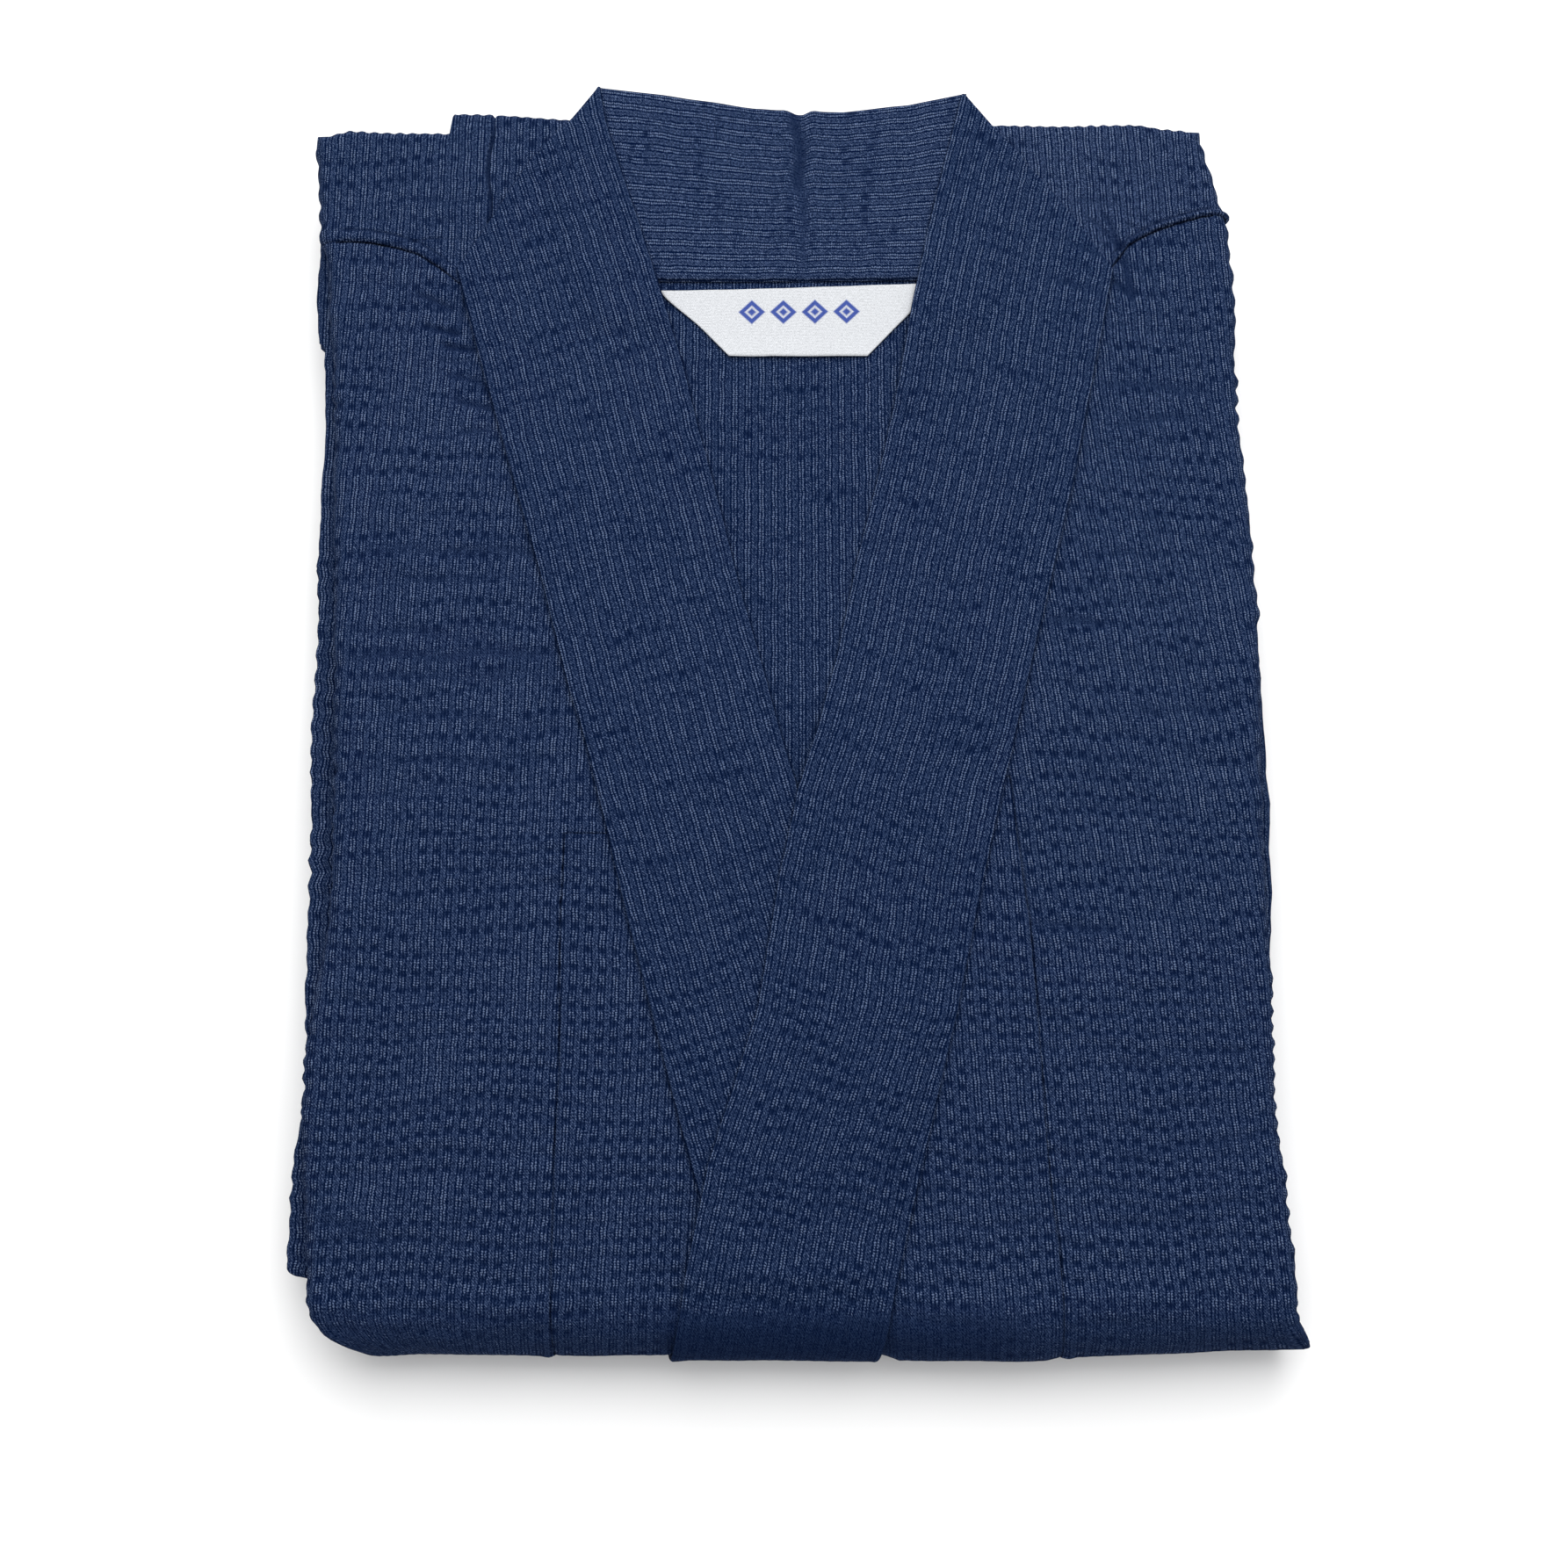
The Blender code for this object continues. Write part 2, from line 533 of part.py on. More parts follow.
def folded_layers() -> bpy.types.Object:
    """The hidden layers as one solid, grooved along its sides, with a flat underside."""
    straight = list(SHOULDER_ROWS) + straight_rows()
    rows = straight + [(s, s) for s in bend_rows(180)]
    columns = LAYER_COLUMNS

    def ring(left_table: tuple, right_table: tuple, inset: float, extra: float) -> list[Station]:
        """Stations from the left bend line round the collar end to the right bend line."""
        left = [side_station(left_table, row[0], -1.0) for row in reversed(straight)]
        right = [side_station(right_table, row[1], 1.0) for row in straight]
        reach = RIDGE_TO_AXIS + extra
        across = []
        for index in range(columns + 1):
            x = mix(left[-1].x, right[0].x, index / columns)
            across.append(end_station(x, end_axis(CORE_END, x) - inset, reach))
        first = corner_fan(across[0].x, across[0].s, left[-1].reach, reach, -1.0)
        last = corner_fan(across[-1].x, across[-1].s, right[0].reach, reach, 1.0)
        return left + first + across[1:-1] + list(reversed(last)) + right

    mesh = bmesh.new()

    def vertex(point: Point) -> bmesh.types.BMVert:
        return mesh.verts.new([value * MM for value in rolled(point)])

    upper_ring = ring(LEFT_EDGE, RIGHT_EDGE, 0.0, COLLAR_END_LAYER)
    lower_ring = ring(LOWER_LEFT_EDGE, LOWER_RIGHT_EDGE, LOWER_END_INSET, 0.0)
    upper = []
    lower = []
    for top_station, low_station in zip(upper_ring, lower_ring):
        top = level(top_station.x, top_station.s)
        section = layer_profile(top_station, top, top - MID_HEIGHT)
        upper.append([vertex(point) for point in section])
        mirrored = layer_profile(low_station, MID_HEIGHT, MID_HEIGHT)
        low = [(x, s, MID_HEIGHT - h) for x, s, h in mirrored[:-1]] + [section[-1]]
        lower.append([vertex(point) for point in low])

    def fold_end(sign: float, start: list, end: list) -> list:
        """Sections round one end of the bottom fold, between the two halves' own."""
        table, lower_table = (
            (LEFT_EDGE, LOWER_LEFT_EDGE) if sign < 0.0 else (RIGHT_EDGE, LOWER_RIGHT_EDGE)
        )
        middle = layer_profile(side_station(table, BEND_LINE, sign), 0.0, MID_HEIGHT)[-1]
        sections = [start]
        for s in bend_rows(180 - BEND_STEP):
            station = bend_station(table, lower_table, s, sign)
            top = level(station.x, s)
            section = layer_profile(station, top, top - MID_HEIGHT)
            section[-1] = (middle[0], s, MID_HEIGHT)
            sections.append([vertex(point) for point in section])
        return sections + [end]

    left_fold = fold_end(-1.0, upper[0], lower[0])
    right_fold = fold_end(1.0, upper[-1], lower[-1])
    for strip in (upper, lower, left_fold, right_fold):
        for section, following in zip(strip, strip[1:]):
            for at in range(len(section) - 1):
                add_face(mesh, [section[at], following[at], following[at + 1], section[at + 1]])

    first_across = len(straight) + CORNER_STEPS
    grid = [[section[0] for section in upper[first_across:first_across + columns + 1]]]
    for index, (left_s, right_s) in enumerate(rows):
        if index < len(straight):
            left_vertex = upper[len(straight) - 1 - index][0]
            right_vertex = upper[len(upper) - len(straight) + index][0]
        else:
            left_vertex = left_fold[index - len(straight) + 1][0]
            right_vertex = right_fold[index - len(straight) + 1][0]
        left_x = rim_station(-1.0, left_s).x
        right_x = rim_station(1.0, right_s).x
        row = [left_vertex]
        for column in range(1, columns):
            x = mix(left_x, right_x, column / columns)
            s = mix(left_s, right_s, column / columns)
            row.append(vertex((x, s, level(x, s))))
        grid.append(row + [right_vertex])

    floor = [[section[0] for section in lower[first_across:first_across + columns + 1]]]
    for index in range(len(straight) - 1):
        start = lower[len(straight) - 1 - index][0]
        end = lower[len(lower) - len(straight) + index][0]
        inside = [
            mesh.verts.new(start.co.lerp(end.co, column / columns))
            for column in range(1, columns)
        ]
        floor.append([start, *inside, end])
    floor.append(grid[-1])
    for face_rows in (grid, floor):
        for row, following in zip(face_rows, face_rows[1:]):
            for at in range(columns):
                add_face(mesh, [row[at], row[at + 1], following[at + 1], following[at]])
    return new_object("folded_layers", DEEP_NAVY, mesh)


def seam_shift(seam: tuple, seam_s: float, x: float, s: float) -> float:
    """Move a row so that it follows a shoulder seam near it."""
    share = 1.0 - ease(abs(s - seam_s) / SEAM_FADE)
    return s + (read(seam, "x", "s", x) - seam_s) * share


def front_panel(name: str, sign: float) -> bpy.types.Object:
    """A front body panel, folded round its side and round the bottom fold."""
    left = sign < 0.0
    band = LEFT_BAND if left else RIGHT_BAND
    seam = LEFT_SHOULDER_SEAM if left else RIGHT_SHOULDER_SEAM
    seam_s = LEFT_SEAM_S if left else RIGHT_SEAM_S
    columns = LEFT_SHOULDER_COLUMNS if left else RIGHT_SHOULDER_COLUMNS
    overlap_seam = LEFT_OVERLAP_SEAM if left else RIGHT_OVERLAP_SEAM
    overlap_top = LEFT_OVERLAP_TOP if left else RIGHT_OVERLAP_TOP

    def lapped(s: float) -> float:
        """Where the panel's edge lies under the band."""
        return read(band, "s", "outer", min(s, BAND_CORNER)) - sign * LAP

    def sewn(s: float) -> float:
        """The line of the overlap's seam, run on up the panel."""
        return read(overlap_seam, "s", "x", s) + sign * GAP / 2.0

    rim_rows = [row[0 if left else 1] for row in straight_rows()] + bend_rows(SHEET_BEND_END)
    top = seam_s - 0.5 * GAP
    start = lapped(top)
    width = rim_station(sign, rim_rows[0]).x - start
    shares = [0.0] + [(column.seam - start) / width for column in columns] + [1.0]
    body: Patch = []
    gore: Patch = []
    for rim_s in rim_rows:
        station = rim_station(sign, rim_s)
        s = top if rim_s == rim_rows[0] else rim_s
        inner = sewn(s)
        if sign * lapped(s) > sign * inner and s >= overlap_top:
            inner = lapped(s)
        row = []
        for share in shares:
            x = mix(inner, station.x, share)
            shifted = seam_shift(seam, seam_s, x, s) if share < 1.0 else rim_s
            row.append(laid(x, shifted, GAP, SHEET))
        body.append(row + hem(station))
        if s >= overlap_top:
            far = inner if sign * lapped(s) > sign * inner else lapped(s)
            gore.append([
                laid(x, seam_shift(seam, seam_s, x, s), GAP, SHEET)
                for x in (inner, mix(inner, far, 0.5), far)
            ])
    return shell(name, NAVY, [body, gore])


def overlap_panel(name: str, sign: float) -> bpy.types.Object:
    """The narrow overlap panel between a front body panel and the collar band."""
    left = sign < 0.0
    seam = LEFT_OVERLAP_SEAM if left else RIGHT_OVERLAP_SEAM
    top = LEFT_OVERLAP_TOP if left else RIGHT_OVERLAP_TOP

    def far_edge(s: float) -> float:
        """The edge that lies under the collar band."""
        if not left:
            return read(RIGHT_BAND, "s", "outer", s) - LAP
        own = read(LEFT_BAND, "s", "outer", s)
        over = read(RIGHT_BAND, "s", "inner", s)
        return min(own, over) + LAP

    rows = steps(top - GAP, BEND_LINE, PANEL_STEP) + bend_rows(SHEET_BEND_END)
    patch = []
    for s in rows:
        near = read(seam, "s", "x", s) - sign * GAP / 2.0
        far = far_edge(s)
        patch.append([
            laid(mix(near, far, column / 4), s, GAP, SHEET) for column in range(5)
        ])
    return shell(name, NAVY, [patch])


def shoulder_panel(name: str, sign: float) -> bpy.types.Object:
    """The back body's cloth that comes over a shoulder, down to its lapped seam."""
    left = sign < 0.0
    band = LEFT_BAND if left else RIGHT_BAND
    seam = LEFT_SHOULDER_SEAM if left else RIGHT_SHOULDER_SEAM
    seam_s = LEFT_SEAM_S if left else RIGHT_SEAM_S
    columns = LEFT_SHOULDER_COLUMNS if left else RIGHT_SHOULDER_COLUMNS
    rim_rows = [row[0 if left else 1] for row in reversed(SHOULDER_ROWS)]
    seam_rim = rim_rows[0]
    corner = rim_station(sign, rim_rows[-1])
    start = read(band, "s", "outer", BAND_CORNER) - sign * LAP

    def ridge(x: float, s: float, climb: float) -> float:
        """Extra height along the lapped seam, gone before the collar band begins."""
        clear = sign * (x - read(band, "s", "outer", s)) - 1.0
        return SEAM_RIDGE * climb * ease(clear / 6.0)

    def across(rise: float, climb: float, station: Station) -> list[Pair]:
        """A row that starts on the seam and is level with the rim's station."""
        share = rise / (rim_rows[-1] - seam_rim)
        inner = read(band, "s", "outer", max(station.s, BAND_CORNER)) - sign * LAP
        row_x = [mix(start, inner, ease(share * 2.0))]
        row_x += [mix(column.seam, column.end, share) for column in columns]
        follow = 1.0 - ease(rise / SEAM_FADE)
        row = []
        for x in row_x:
            on_seam = read(seam, "x", "s", x) + 0.5 * GAP + rise
            s = mix(station.s, on_seam, follow)
            row.append(laid(x, s, GAP, SHEET + ridge(x, s, climb)))
        return row + [laid(station.x, station.s, GAP, SHEET)]

    climbs = ((0.0, 0.0), (0.8, 1.0), (SEAM_RIDGE_WIDTH, 0.9), (2.0 * SEAM_RIDGE_WIDTH, 0.0))
    rows = list(climbs) + [(s - seam_rim, 0.0) for s in rim_rows[1:]]
    flat: Patch = []
    side: Patch = []
    for rise, climb in rows:
        station = rim_station(sign, seam_rim + rise)
        flat.append(across(rise, climb, station))
        side.append([flat[-1][-1]] + hem(station))
    inner = read(band, "s", "outer", SHOULDER_END) - sign * LAP
    end_x = [inner] + [column.end for column in columns]
    end_stations = [end_station(x, end_axis(COLLAR_END, x), 0.0) for x in end_x]
    fan = corner_fan(corner.x, end_axis(COLLAR_END, corner.x), 0.0, 0.0, sign)
    end_stations.append(fan[-1])
    end_row = [laid(station.x, station.s, GAP, SHEET) for station in end_stations]
    flat.append(end_row)
    side.append([end_row[-1]] + hem(fan[0]))
    turn: Patch = [[end_row[-1]] + hem(station) for station in fan]
    end: Patch = [[pair] + hem(station) for pair, station in zip(end_row, end_stations)]
    return shell(name, NAVY, [flat, side, turn, end])


def carried(distance: float, height: float) -> float:
    """Height that a sheet keeps over an edge, falling away past it."""
    return height * (1.0 - ease((distance - KEEP) / RUN))


def under_collar(x: float, s: float) -> float:
    """Distance outside the back collar."""
    left = read(LEFT_BAND, "s", "inner", s) - BACK_LAP
    right = read(RIGHT_BAND, "s", "inner", s) + BACK_LAP
    return max(left - x, x - right, COLLAR_SEAM - s)


def under_label(x: float, s: float) -> float:
    """Distance outside the label."""
    left = read(LABEL_LEFT, "s", "x", s)
    right = read(LABEL_RIGHT, "s", "x", s)
    return max(left - x, x - right, LABEL_BOTTOM - s, s - LABEL_TOP)


def left_band_base(x: float, s: float) -> float:
    """Offset of the left band's inner face."""
    return BAND_BASE + carried(under_collar(x, s), COLLAR_SHEET + GAP)


def left_band_inner(s: float) -> float:
    """The left band's inner edge, kept inside the right band where that covers it."""
    own = read(LEFT_BAND, "s", "inner", s)
    return min(own, read(RIGHT_BAND, "s", "outer", s) - BAND_CLEAR)


def right_band_base(x: float, s: float) -> float:
    """Offset of the right band's inner face, which passes over the left one."""
    over_collar = carried(under_collar(x, s), COLLAR_SHEET + GAP)
    over_label = carried(under_label(x, s), LABEL + GAP)
    outer = read(LEFT_BAND, "s", "outer", s)
    distance = max(outer - x, x - left_band_inner(s), LEFT_BAND_END - s)
    over_band = carried(distance, left_band_base(x, s) - BAND_BASE + BAND + GAP)
    return BAND_BASE + max(over_collar, over_label, over_band)


def collar_band(name: str, band: tuple, base: Callable, inner: Callable, rows: list[float]):
    """A front collar band: a long folded strip with soft edges."""
    patch = []
    for s in rows:
        near = read(band, "s", "outer", s)
        far = inner(s)
        edge = min(BAND_EDGE / abs(far - near), 0.5 / BAND_PARTS)
        parts = [part / BAND_PARTS for part in range(1, BAND_PARTS)]
        row = []
        for share in [0.0, edge, *parts, 1.0 - edge, 1.0]:
            x = mix(near, far, share)
            height = level(x, s) + base(x, s)
            soft = BAND_SOFT * BAND if share in (0.0, 1.0) else 0.0
            row.append(((x, s, height + 0.25 * soft), (x, s, height + BAND - soft)))
        patch.append(row)
    return shell(name, NAVY, [patch])


def back_body(name: str) -> bpy.types.Object:
    """The back body inside the neck opening."""
    clear = LAP + OPENING_CLEAR
    patch = []
    for s in steps(OPENING_TOP, OPENING_TIP, PANEL_STEP):
        left_limit = read(LEFT_BAND, "s", "outer", max(s, BAND_CORNER)) + clear
        right_limit = read(RIGHT_BAND, "s", "outer", max(s, BAND_CORNER)) - clear
        left = max(read(LEFT_BAND, "s", "inner", s) - BACK_LAP, left_limit)
        right = min(read(RIGHT_BAND, "s", "inner", s) + BACK_LAP, right_limit)
        patch.append([
            laid(mix(left, right, column / 4), s, GAP, SHEET) for column in range(5)
        ])
    return shell(name, DEEP_NAVY, [patch])


def back_collar(name: str) -> bpy.types.Object:
    """The collar behind the neck, folded flat; its free edge dips in the middle."""
    patch = []
    for share in steps(0.0, 1.0, 1.0 / COLLAR_ROWS):
        width_s = mix(COLLAR_SEAM, COLLAR_TOP, share)
        left = read(LEFT_BAND, "s", "inner", width_s) - BACK_LAP * (1.0 - share)
        right = read(RIGHT_BAND, "s", "inner", width_s) + BACK_LAP * (1.0 - share)
        row = []
        for column in range(COLLAR_COLUMNS + 1):
            x = mix(left, right, column / COLLAR_COLUMNS)
            s = mix(COLLAR_SEAM, read(COLLAR_FREE_EDGE, "x", "s", x), share)
            row.append(laid(x, s, BAND_BASE, COLLAR_SHEET))
        patch.append(row)
    return shell(name, NAVY, [patch])


def neck_label(name: str) -> bpy.types.Object:
    """The woven label below the back collar's seam, left blank."""
    patch = []
    for s in steps(LABEL_TOP, LABEL_BOTTOM, BAND_STEP):
        left = read(LABEL_LEFT, "s", "x", s)
        right = read(LABEL_RIGHT, "s", "x", s)
        patch.append([
            laid(mix(left, right, column / LABEL_COLUMNS), s, BAND_BASE, LABEL)
            for column in range(LABEL_COLUMNS + 1)
        ])
    return shell(name, WHITE, [patch])


def centre_on_origin(pieces: list[bpy.types.Object]) -> None:
    """Shift every mesh so that the box round them all stands on the origin."""
    points = [vertex.co for piece in pieces for vertex in piece.data.vertices]
    middle_x = (min(p.x for p in points) + max(p.x for p in points)) / 2.0
    middle_y = (min(p.y for p in points) + max(p.y for p in points)) / 2.0
    for piece in pieces:
        for vertex in piece.data.vertices:
            vertex.co.x -= middle_x
            vertex.co.y -= middle_y


def main() -> None:
    """Clear the scene and build every piece."""
    for old in list(bpy.data.objects):
        bpy.data.objects.remove(old, do_unlink=True)
    left_rows = steps(LEFT_BAND_TOP, LEFT_BAND_END, BAND_STEP)
    right_rows = steps(RIGHT_BAND_TOP, BEND_LINE, BAND_STEP) + bend_rows(BAND_BEND_END)
    pieces = [
        folded_layers(),
        back_body("back_body"),
        shoulder_panel("left_shoulder", -1.0),
        shoulder_panel("right_shoulder", 1.0),
        front_panel("left_front", -1.0),
        front_panel("right_front", 1.0),
        overlap_panel("left_overlap", -1.0),
        overlap_panel("right_overlap", 1.0),
        back_collar("back_collar"),
        neck_label("neck_label"),
        collar_band("left_band", LEFT_BAND, left_band_base, left_band_inner, left_rows),
        collar_band(
            "right_band", RIGHT_BAND, right_band_base,
            lambda s: read(RIGHT_BAND, "s", "inner", s), right_rows,
        ),
    ]
    centre_on_origin(pieces)


main()
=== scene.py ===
"""The dressed cotton yukata robe, folded into a flat parcel with its collar crossed.

Each sheet of cloth is laid out unrolled first: x runs across the parcel, s along it, and
h is the height over the surface that it lies on.  Parcel.rolled carries those points
round the bottom fold.  Lengths are millimetres until a mesh is made, which is in metres.
-X is the left of the parcel, +Y its collar end, and Z is up.
"""

import logging
import math
from dataclasses import dataclass
from enum import Enum
from typing import Callable

import bmesh
import bpy
import numpy as np
from mathutils import Matrix, Vector


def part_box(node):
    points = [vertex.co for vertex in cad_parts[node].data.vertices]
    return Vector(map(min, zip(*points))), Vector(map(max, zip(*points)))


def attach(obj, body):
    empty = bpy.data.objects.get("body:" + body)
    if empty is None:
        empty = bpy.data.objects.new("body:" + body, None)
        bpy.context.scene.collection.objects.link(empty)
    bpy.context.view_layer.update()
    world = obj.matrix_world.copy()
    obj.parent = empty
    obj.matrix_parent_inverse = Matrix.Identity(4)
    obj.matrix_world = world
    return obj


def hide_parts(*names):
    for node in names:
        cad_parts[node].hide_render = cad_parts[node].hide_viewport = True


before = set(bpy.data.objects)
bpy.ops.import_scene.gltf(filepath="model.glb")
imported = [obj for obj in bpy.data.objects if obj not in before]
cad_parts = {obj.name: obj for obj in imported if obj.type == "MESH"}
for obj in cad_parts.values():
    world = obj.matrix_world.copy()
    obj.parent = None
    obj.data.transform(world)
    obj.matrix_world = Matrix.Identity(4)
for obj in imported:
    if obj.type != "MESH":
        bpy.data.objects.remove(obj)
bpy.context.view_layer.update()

LOG = logging.getLogger("yukata")
MM = 0.001
BODY = "root"
Array = np.ndarray
Number = Array | float
Grain = Callable[[Array, Array], tuple[Array, Array]]
Colour = tuple[float, float, float, float]

PITCH = 4.25              # between two pairs of twin lines of the weave
LINE_ASIDE = 0.48         # from the middle of a pair to each of its lines
FLOAT_LENGTH = 0.74       # one float of thread along a line
PUCKER_LENGTH = 6.4       # between two rows of puckers, as the finish draws them
TWILL_WIDTH = 0.80        # between two slanting threads
LAP = 12.0                # how far a panel runs on under the collar band
BACK_LAP = 9.0            # the same for what lies inside the neck opening
TUCK = 4.4                # how far a folded edge's end runs in between the layers
PANEL_END = 150.0         # degrees where the panels end under the bottom fold
BAND_CORNER = 172.6       # the bands turn away above this s
COLLAR_SEAM = 168.5       # s of the back collar's sewn edge
LABEL_TOP = 167.3         # s of the label's edges
LABEL_BOTTOM = 141.8
LABEL_LEFT = -40.0        # x of its upper left corner


class Side(Enum):
    """The parcel's two sides; the value is the sign of x there."""

    LEFT = -1.0
    RIGHT = 1.0


class Slot(Enum):
    """Material slots of the record."""

    COTTON = "crinkle_cotton"
    INNER = "crinkle_cotton_inner"
    COLLAR = "collar_cotton"
    LABEL = "label_weave"


class Table:
    """Rows of named columns, read with straight runs between the rows."""

    def __init__(self, columns: str, *rows: tuple) -> None:
        """Sort the rows by their first column.

        Args:
            columns: The columns' names, split by spaces.
            rows: One tuple of numbers a row.
        """
        self.columns = columns.split()
        self.rows = np.array(sorted(rows), dtype=float)

    def read(self, column: str, at: Number) -> Array:
        """One column at values of the first one."""
        return np.interp(at, self.rows[:, 0], self.rows[:, self.columns.index(column)])


# The ridge of the uppermost folded edge, and the edges of the layers under it.
LEFT_EDGE = Table(
    "s ridge layer",
    (240, -157.6, -155.5), (222, -156.6, -155), (214, -155.7, -154.8), (205, -154.6, -154.5),
    (184.6, -152.9, -154.2), (182.2, -150.4, -154.2), (170, -149.3, -154.6),
    (162, -148.5, -153.7), (152, -147.4, -152.7), (150.6, -147.2, -150.6),
    (146.5, -146.7, -150.2), (123, -144.9, -149.2), (93, -143.2, -148.6), (76, -142.2, -149.4),
    (60, -141.3, -148.8), (27, -139.5, -147.4), (-8, -137.9, -146.2), (-24, -137.2, -145.9),
    (-41, -137.3, -144.8), (-57, -139.7, -144.4), (-75, -142, -144.6), (-90, -142.6, -144.5),
    (-110, -141.5, -145.9), (-135, -138.9, -145.8), (-139, -138.5, -146),
    (-141.5, -138.2, -145.9), (-143, -138.1, -145.4), (-144.2, -138.1, -144.4),
    (-145, -138, -142.8), (-145.4, -138, -140.6), (-145.9, -137.9, -138.4),
    (-150.5, -137.5, -137),
)
RIGHT_EDGE = Table(
    "s ridge layer",
    (240, 138.5, 137.5), (222, 139.5, 138.5), (216, 140.8, 139.8), (209, 142.6, 141.6),
    (203, 143.5, 142.5), (196.5, 145.5, 144.5), (190, 146.2, 146), (168, 147.4, 147),
    (158, 147.4, 147), (145, 146.4, 147), (121, 146.3, 147), (93, 147.9, 148),
    (76, 148.2, 148.4), (58, 148.7, 149), (43, 148.2, 149), (26, 147.9, 149.6),
    (9, 147, 150.7), (-8, 146.6, 150.2), (-24, 146.2, 148.6), (-41, 146, 147.3),
    (-57, 146, 146.8), (-73, 146, 147), (-94, 145.1, 145.5), (-117, 147, 146.5),
    (-150.5, 148.3, 147.8),
)
LOWER_LEFT_EDGE = Table(
    "s ridge layer",
    (240, -150, -149), (205, -149, -147), (160, -147.5, -147), (100, -145, -143),
    (30, -142, -144), (-40, -143, -141), (-100, -141, -142.5), (-150.5, -138, -137.5),
)
LOWER_RIGHT_EDGE = Table(
    "s ridge layer",
    (240, 141, 140), (205, 143, 142), (160, 145, 145.5), (100, 147, 148),
    (30, 148, 146), (-40, 146.5, 148), (-100, 147.5, 146), (-150.5, 147, 147.5),
)
# Where the shoulders' cloth, and the layers inside, end at the collar end.
COLLAR_END = Table(
    "x s",
    (-156, 224.1), (-145, 226.8), (-137, 226), (-111.2, 224.9), (-110.2, 232.4), (-99, 232.3),
    (-75, 230.4), (-55, 228.5), (0, 226.5), (50, 227.4), (72, 228.3), (105, 228.8),
    (118, 228.8), (126, 227.2), (139, 226.2),
)
CORE_END = Table(
    "x s",
    (-156, 222.4), (-137, 224.2), (-111, 223.4), (-75, 224.4), (0, 225.6), (72, 226.6),
    (105, 226.9), (139, 224.8),
)
# How much further out the bottom fold lies at x.
FOLD_REACH = Table(
    "x reach",
    (-150, 1.6), (-136, 1.4), (-120, 0.9), (-80, 0.6), (-45, 1), (-36, 1), (-27, 0.4),
    (0, 0.8), (29, 1.2), (33.5, 2.8), (60, 2.5), (76, 2.1), (81, 1.1), (90, 0.7),
    (105, 0.2), (120, -0.2), (135, -0.8), (150, -0.8),
)
LEFT_BAND = Table(
    "s outer inner",
    (238.9, -61.7, -61), (226.5, -70.4, -58.9), (210.6, -84.7, -54.2), (189.7, -96.1, -47.4),
    (BAND_CORNER, -106.5, -42.2), (138.6, -97.1, -32.1), (117.7, -91, -27.2),
    (92.1, -83.5, -20.4), (63.5, -74.9, -13.5), (35.8, -67.9, -5.9), (14.8, -61.2, -0.4),
    (-16.7, -53, 9.1), (-44.1, -46.2, 17), (-72.6, -38.4, 25.3), (-104.7, -29.7, 34.6),
    (-138, -20.1, 44.3),
)
RIGHT_BAND = Table(
    "s outer inner",
    (236.2, 59.9, 59), (221.9, 70.7, 55.5), (203.2, 86.6, 50.8), (188.9, 96.7, 47.4),
    (BAND_CORNER, 107, 44), (158.9, 104.3, 41.1), (131.9, 98.5, 36.5), (100.7, 92.1, 29.7),
    (72.6, 85.1, 22.8), (42.5, 77.5, 16.6), (18.4, 71.6, 10.6), (-0.9, 66.9, 4.4),
    (-27.7, 60.4, -1.4), (-69.2, 51.3, -8.1), (-90.5, 46, -14.7), (-112.9, 40.6, -21.9),
    (-136.3, 35, -26.7), (-150.5, 31.8, -29.2), (-190, 24, -36),
)
LEFT_SHOULDER_SEAM = Table(
    "x s",
    (-160, 183.4), (-142.6, 183.9), (-135.4, 183.3), (-126.8, 181.4), (-119.5, 178.8),
    (-112.1, 173.8), (-106.5, 169.1), (-85, 158),
)
RIGHT_SHOULDER_SEAM = Table(
    "x s",
    (85, 160), (105, 172), (109.7, 177.9), (112.5, 182), (116.9, 184.9), (122.8, 188),
    (130.1, 190.6), (137.4, 192.8), (141.7, 193.4), (150, 193),
)
LEFT_OVERLAP_SEAM = Table(
    "s x", (240, -66.6), (-15, -66.4), (-40, -67.2), (-86, -66.2), (-110, -67), (-200, -66.7)
)
RIGHT_OVERLAP_SEAM = Table(
    "s x",
    (240, 69), (3, 69), (-15.5, 70.6), (-42, 73.6), (-65, 75), (-118, 77.2), (-140, 79.6),
    (-200, 81.5),
)
COLLAR_FREE_EDGE = Table(
    "x s",
    (-80, 242.6), (-61.7, 239.3), (-38, 236), (-10, 230.9), (2.5, 229.9), (5.8, 228.2),
    (9.5, 229.6), (20, 229.4), (41, 232.2), (59.5, 236.6), (80, 239),
)
LABEL_SIDES = Table(
    "s left right", (LABEL_BOTTOM, -17.7, 26.8), (165.4, -38.7, 48.2), (LABEL_TOP, LABEL_LEFT, 49.9)
)
# How far the right front's grain has moved across at s.
RIGHT_GRAIN = Table(
    "s shift",
    (240, -2), (200, 0), (130, 4.5), (100, 8), (0, 22.5), (-50, 28.5), (-150, 36), (-200, 38),
)
# Spacing of the puckers along the cloth, as rows counted from s = 0.
PUCKER_ROWS = Table(
    "s rows", (-210, -41), (-150, -28.5), (-100, -18.5), (-50, -8.6), (0, 0), (100, 14), (240, 33)
)


@dataclass(frozen=True)
class Half:
    """What differs between the two sides of the parcel."""

    sign: float
    edge: Table
    lower_edge: Table
    band: Table
    shoulder_seam: Table
    overlap_seam: Table
    seam_s: float             # the front's first row lies at this s
    corner_s: float           # s near the shoulder's corner at the collar end
    seam_out: float           # the overlap's seam comes out from under the band here
    overlap_top: float        # s where the overlap panel begins
    band_slope: float         # how the band's inner edge runs, in s for each x


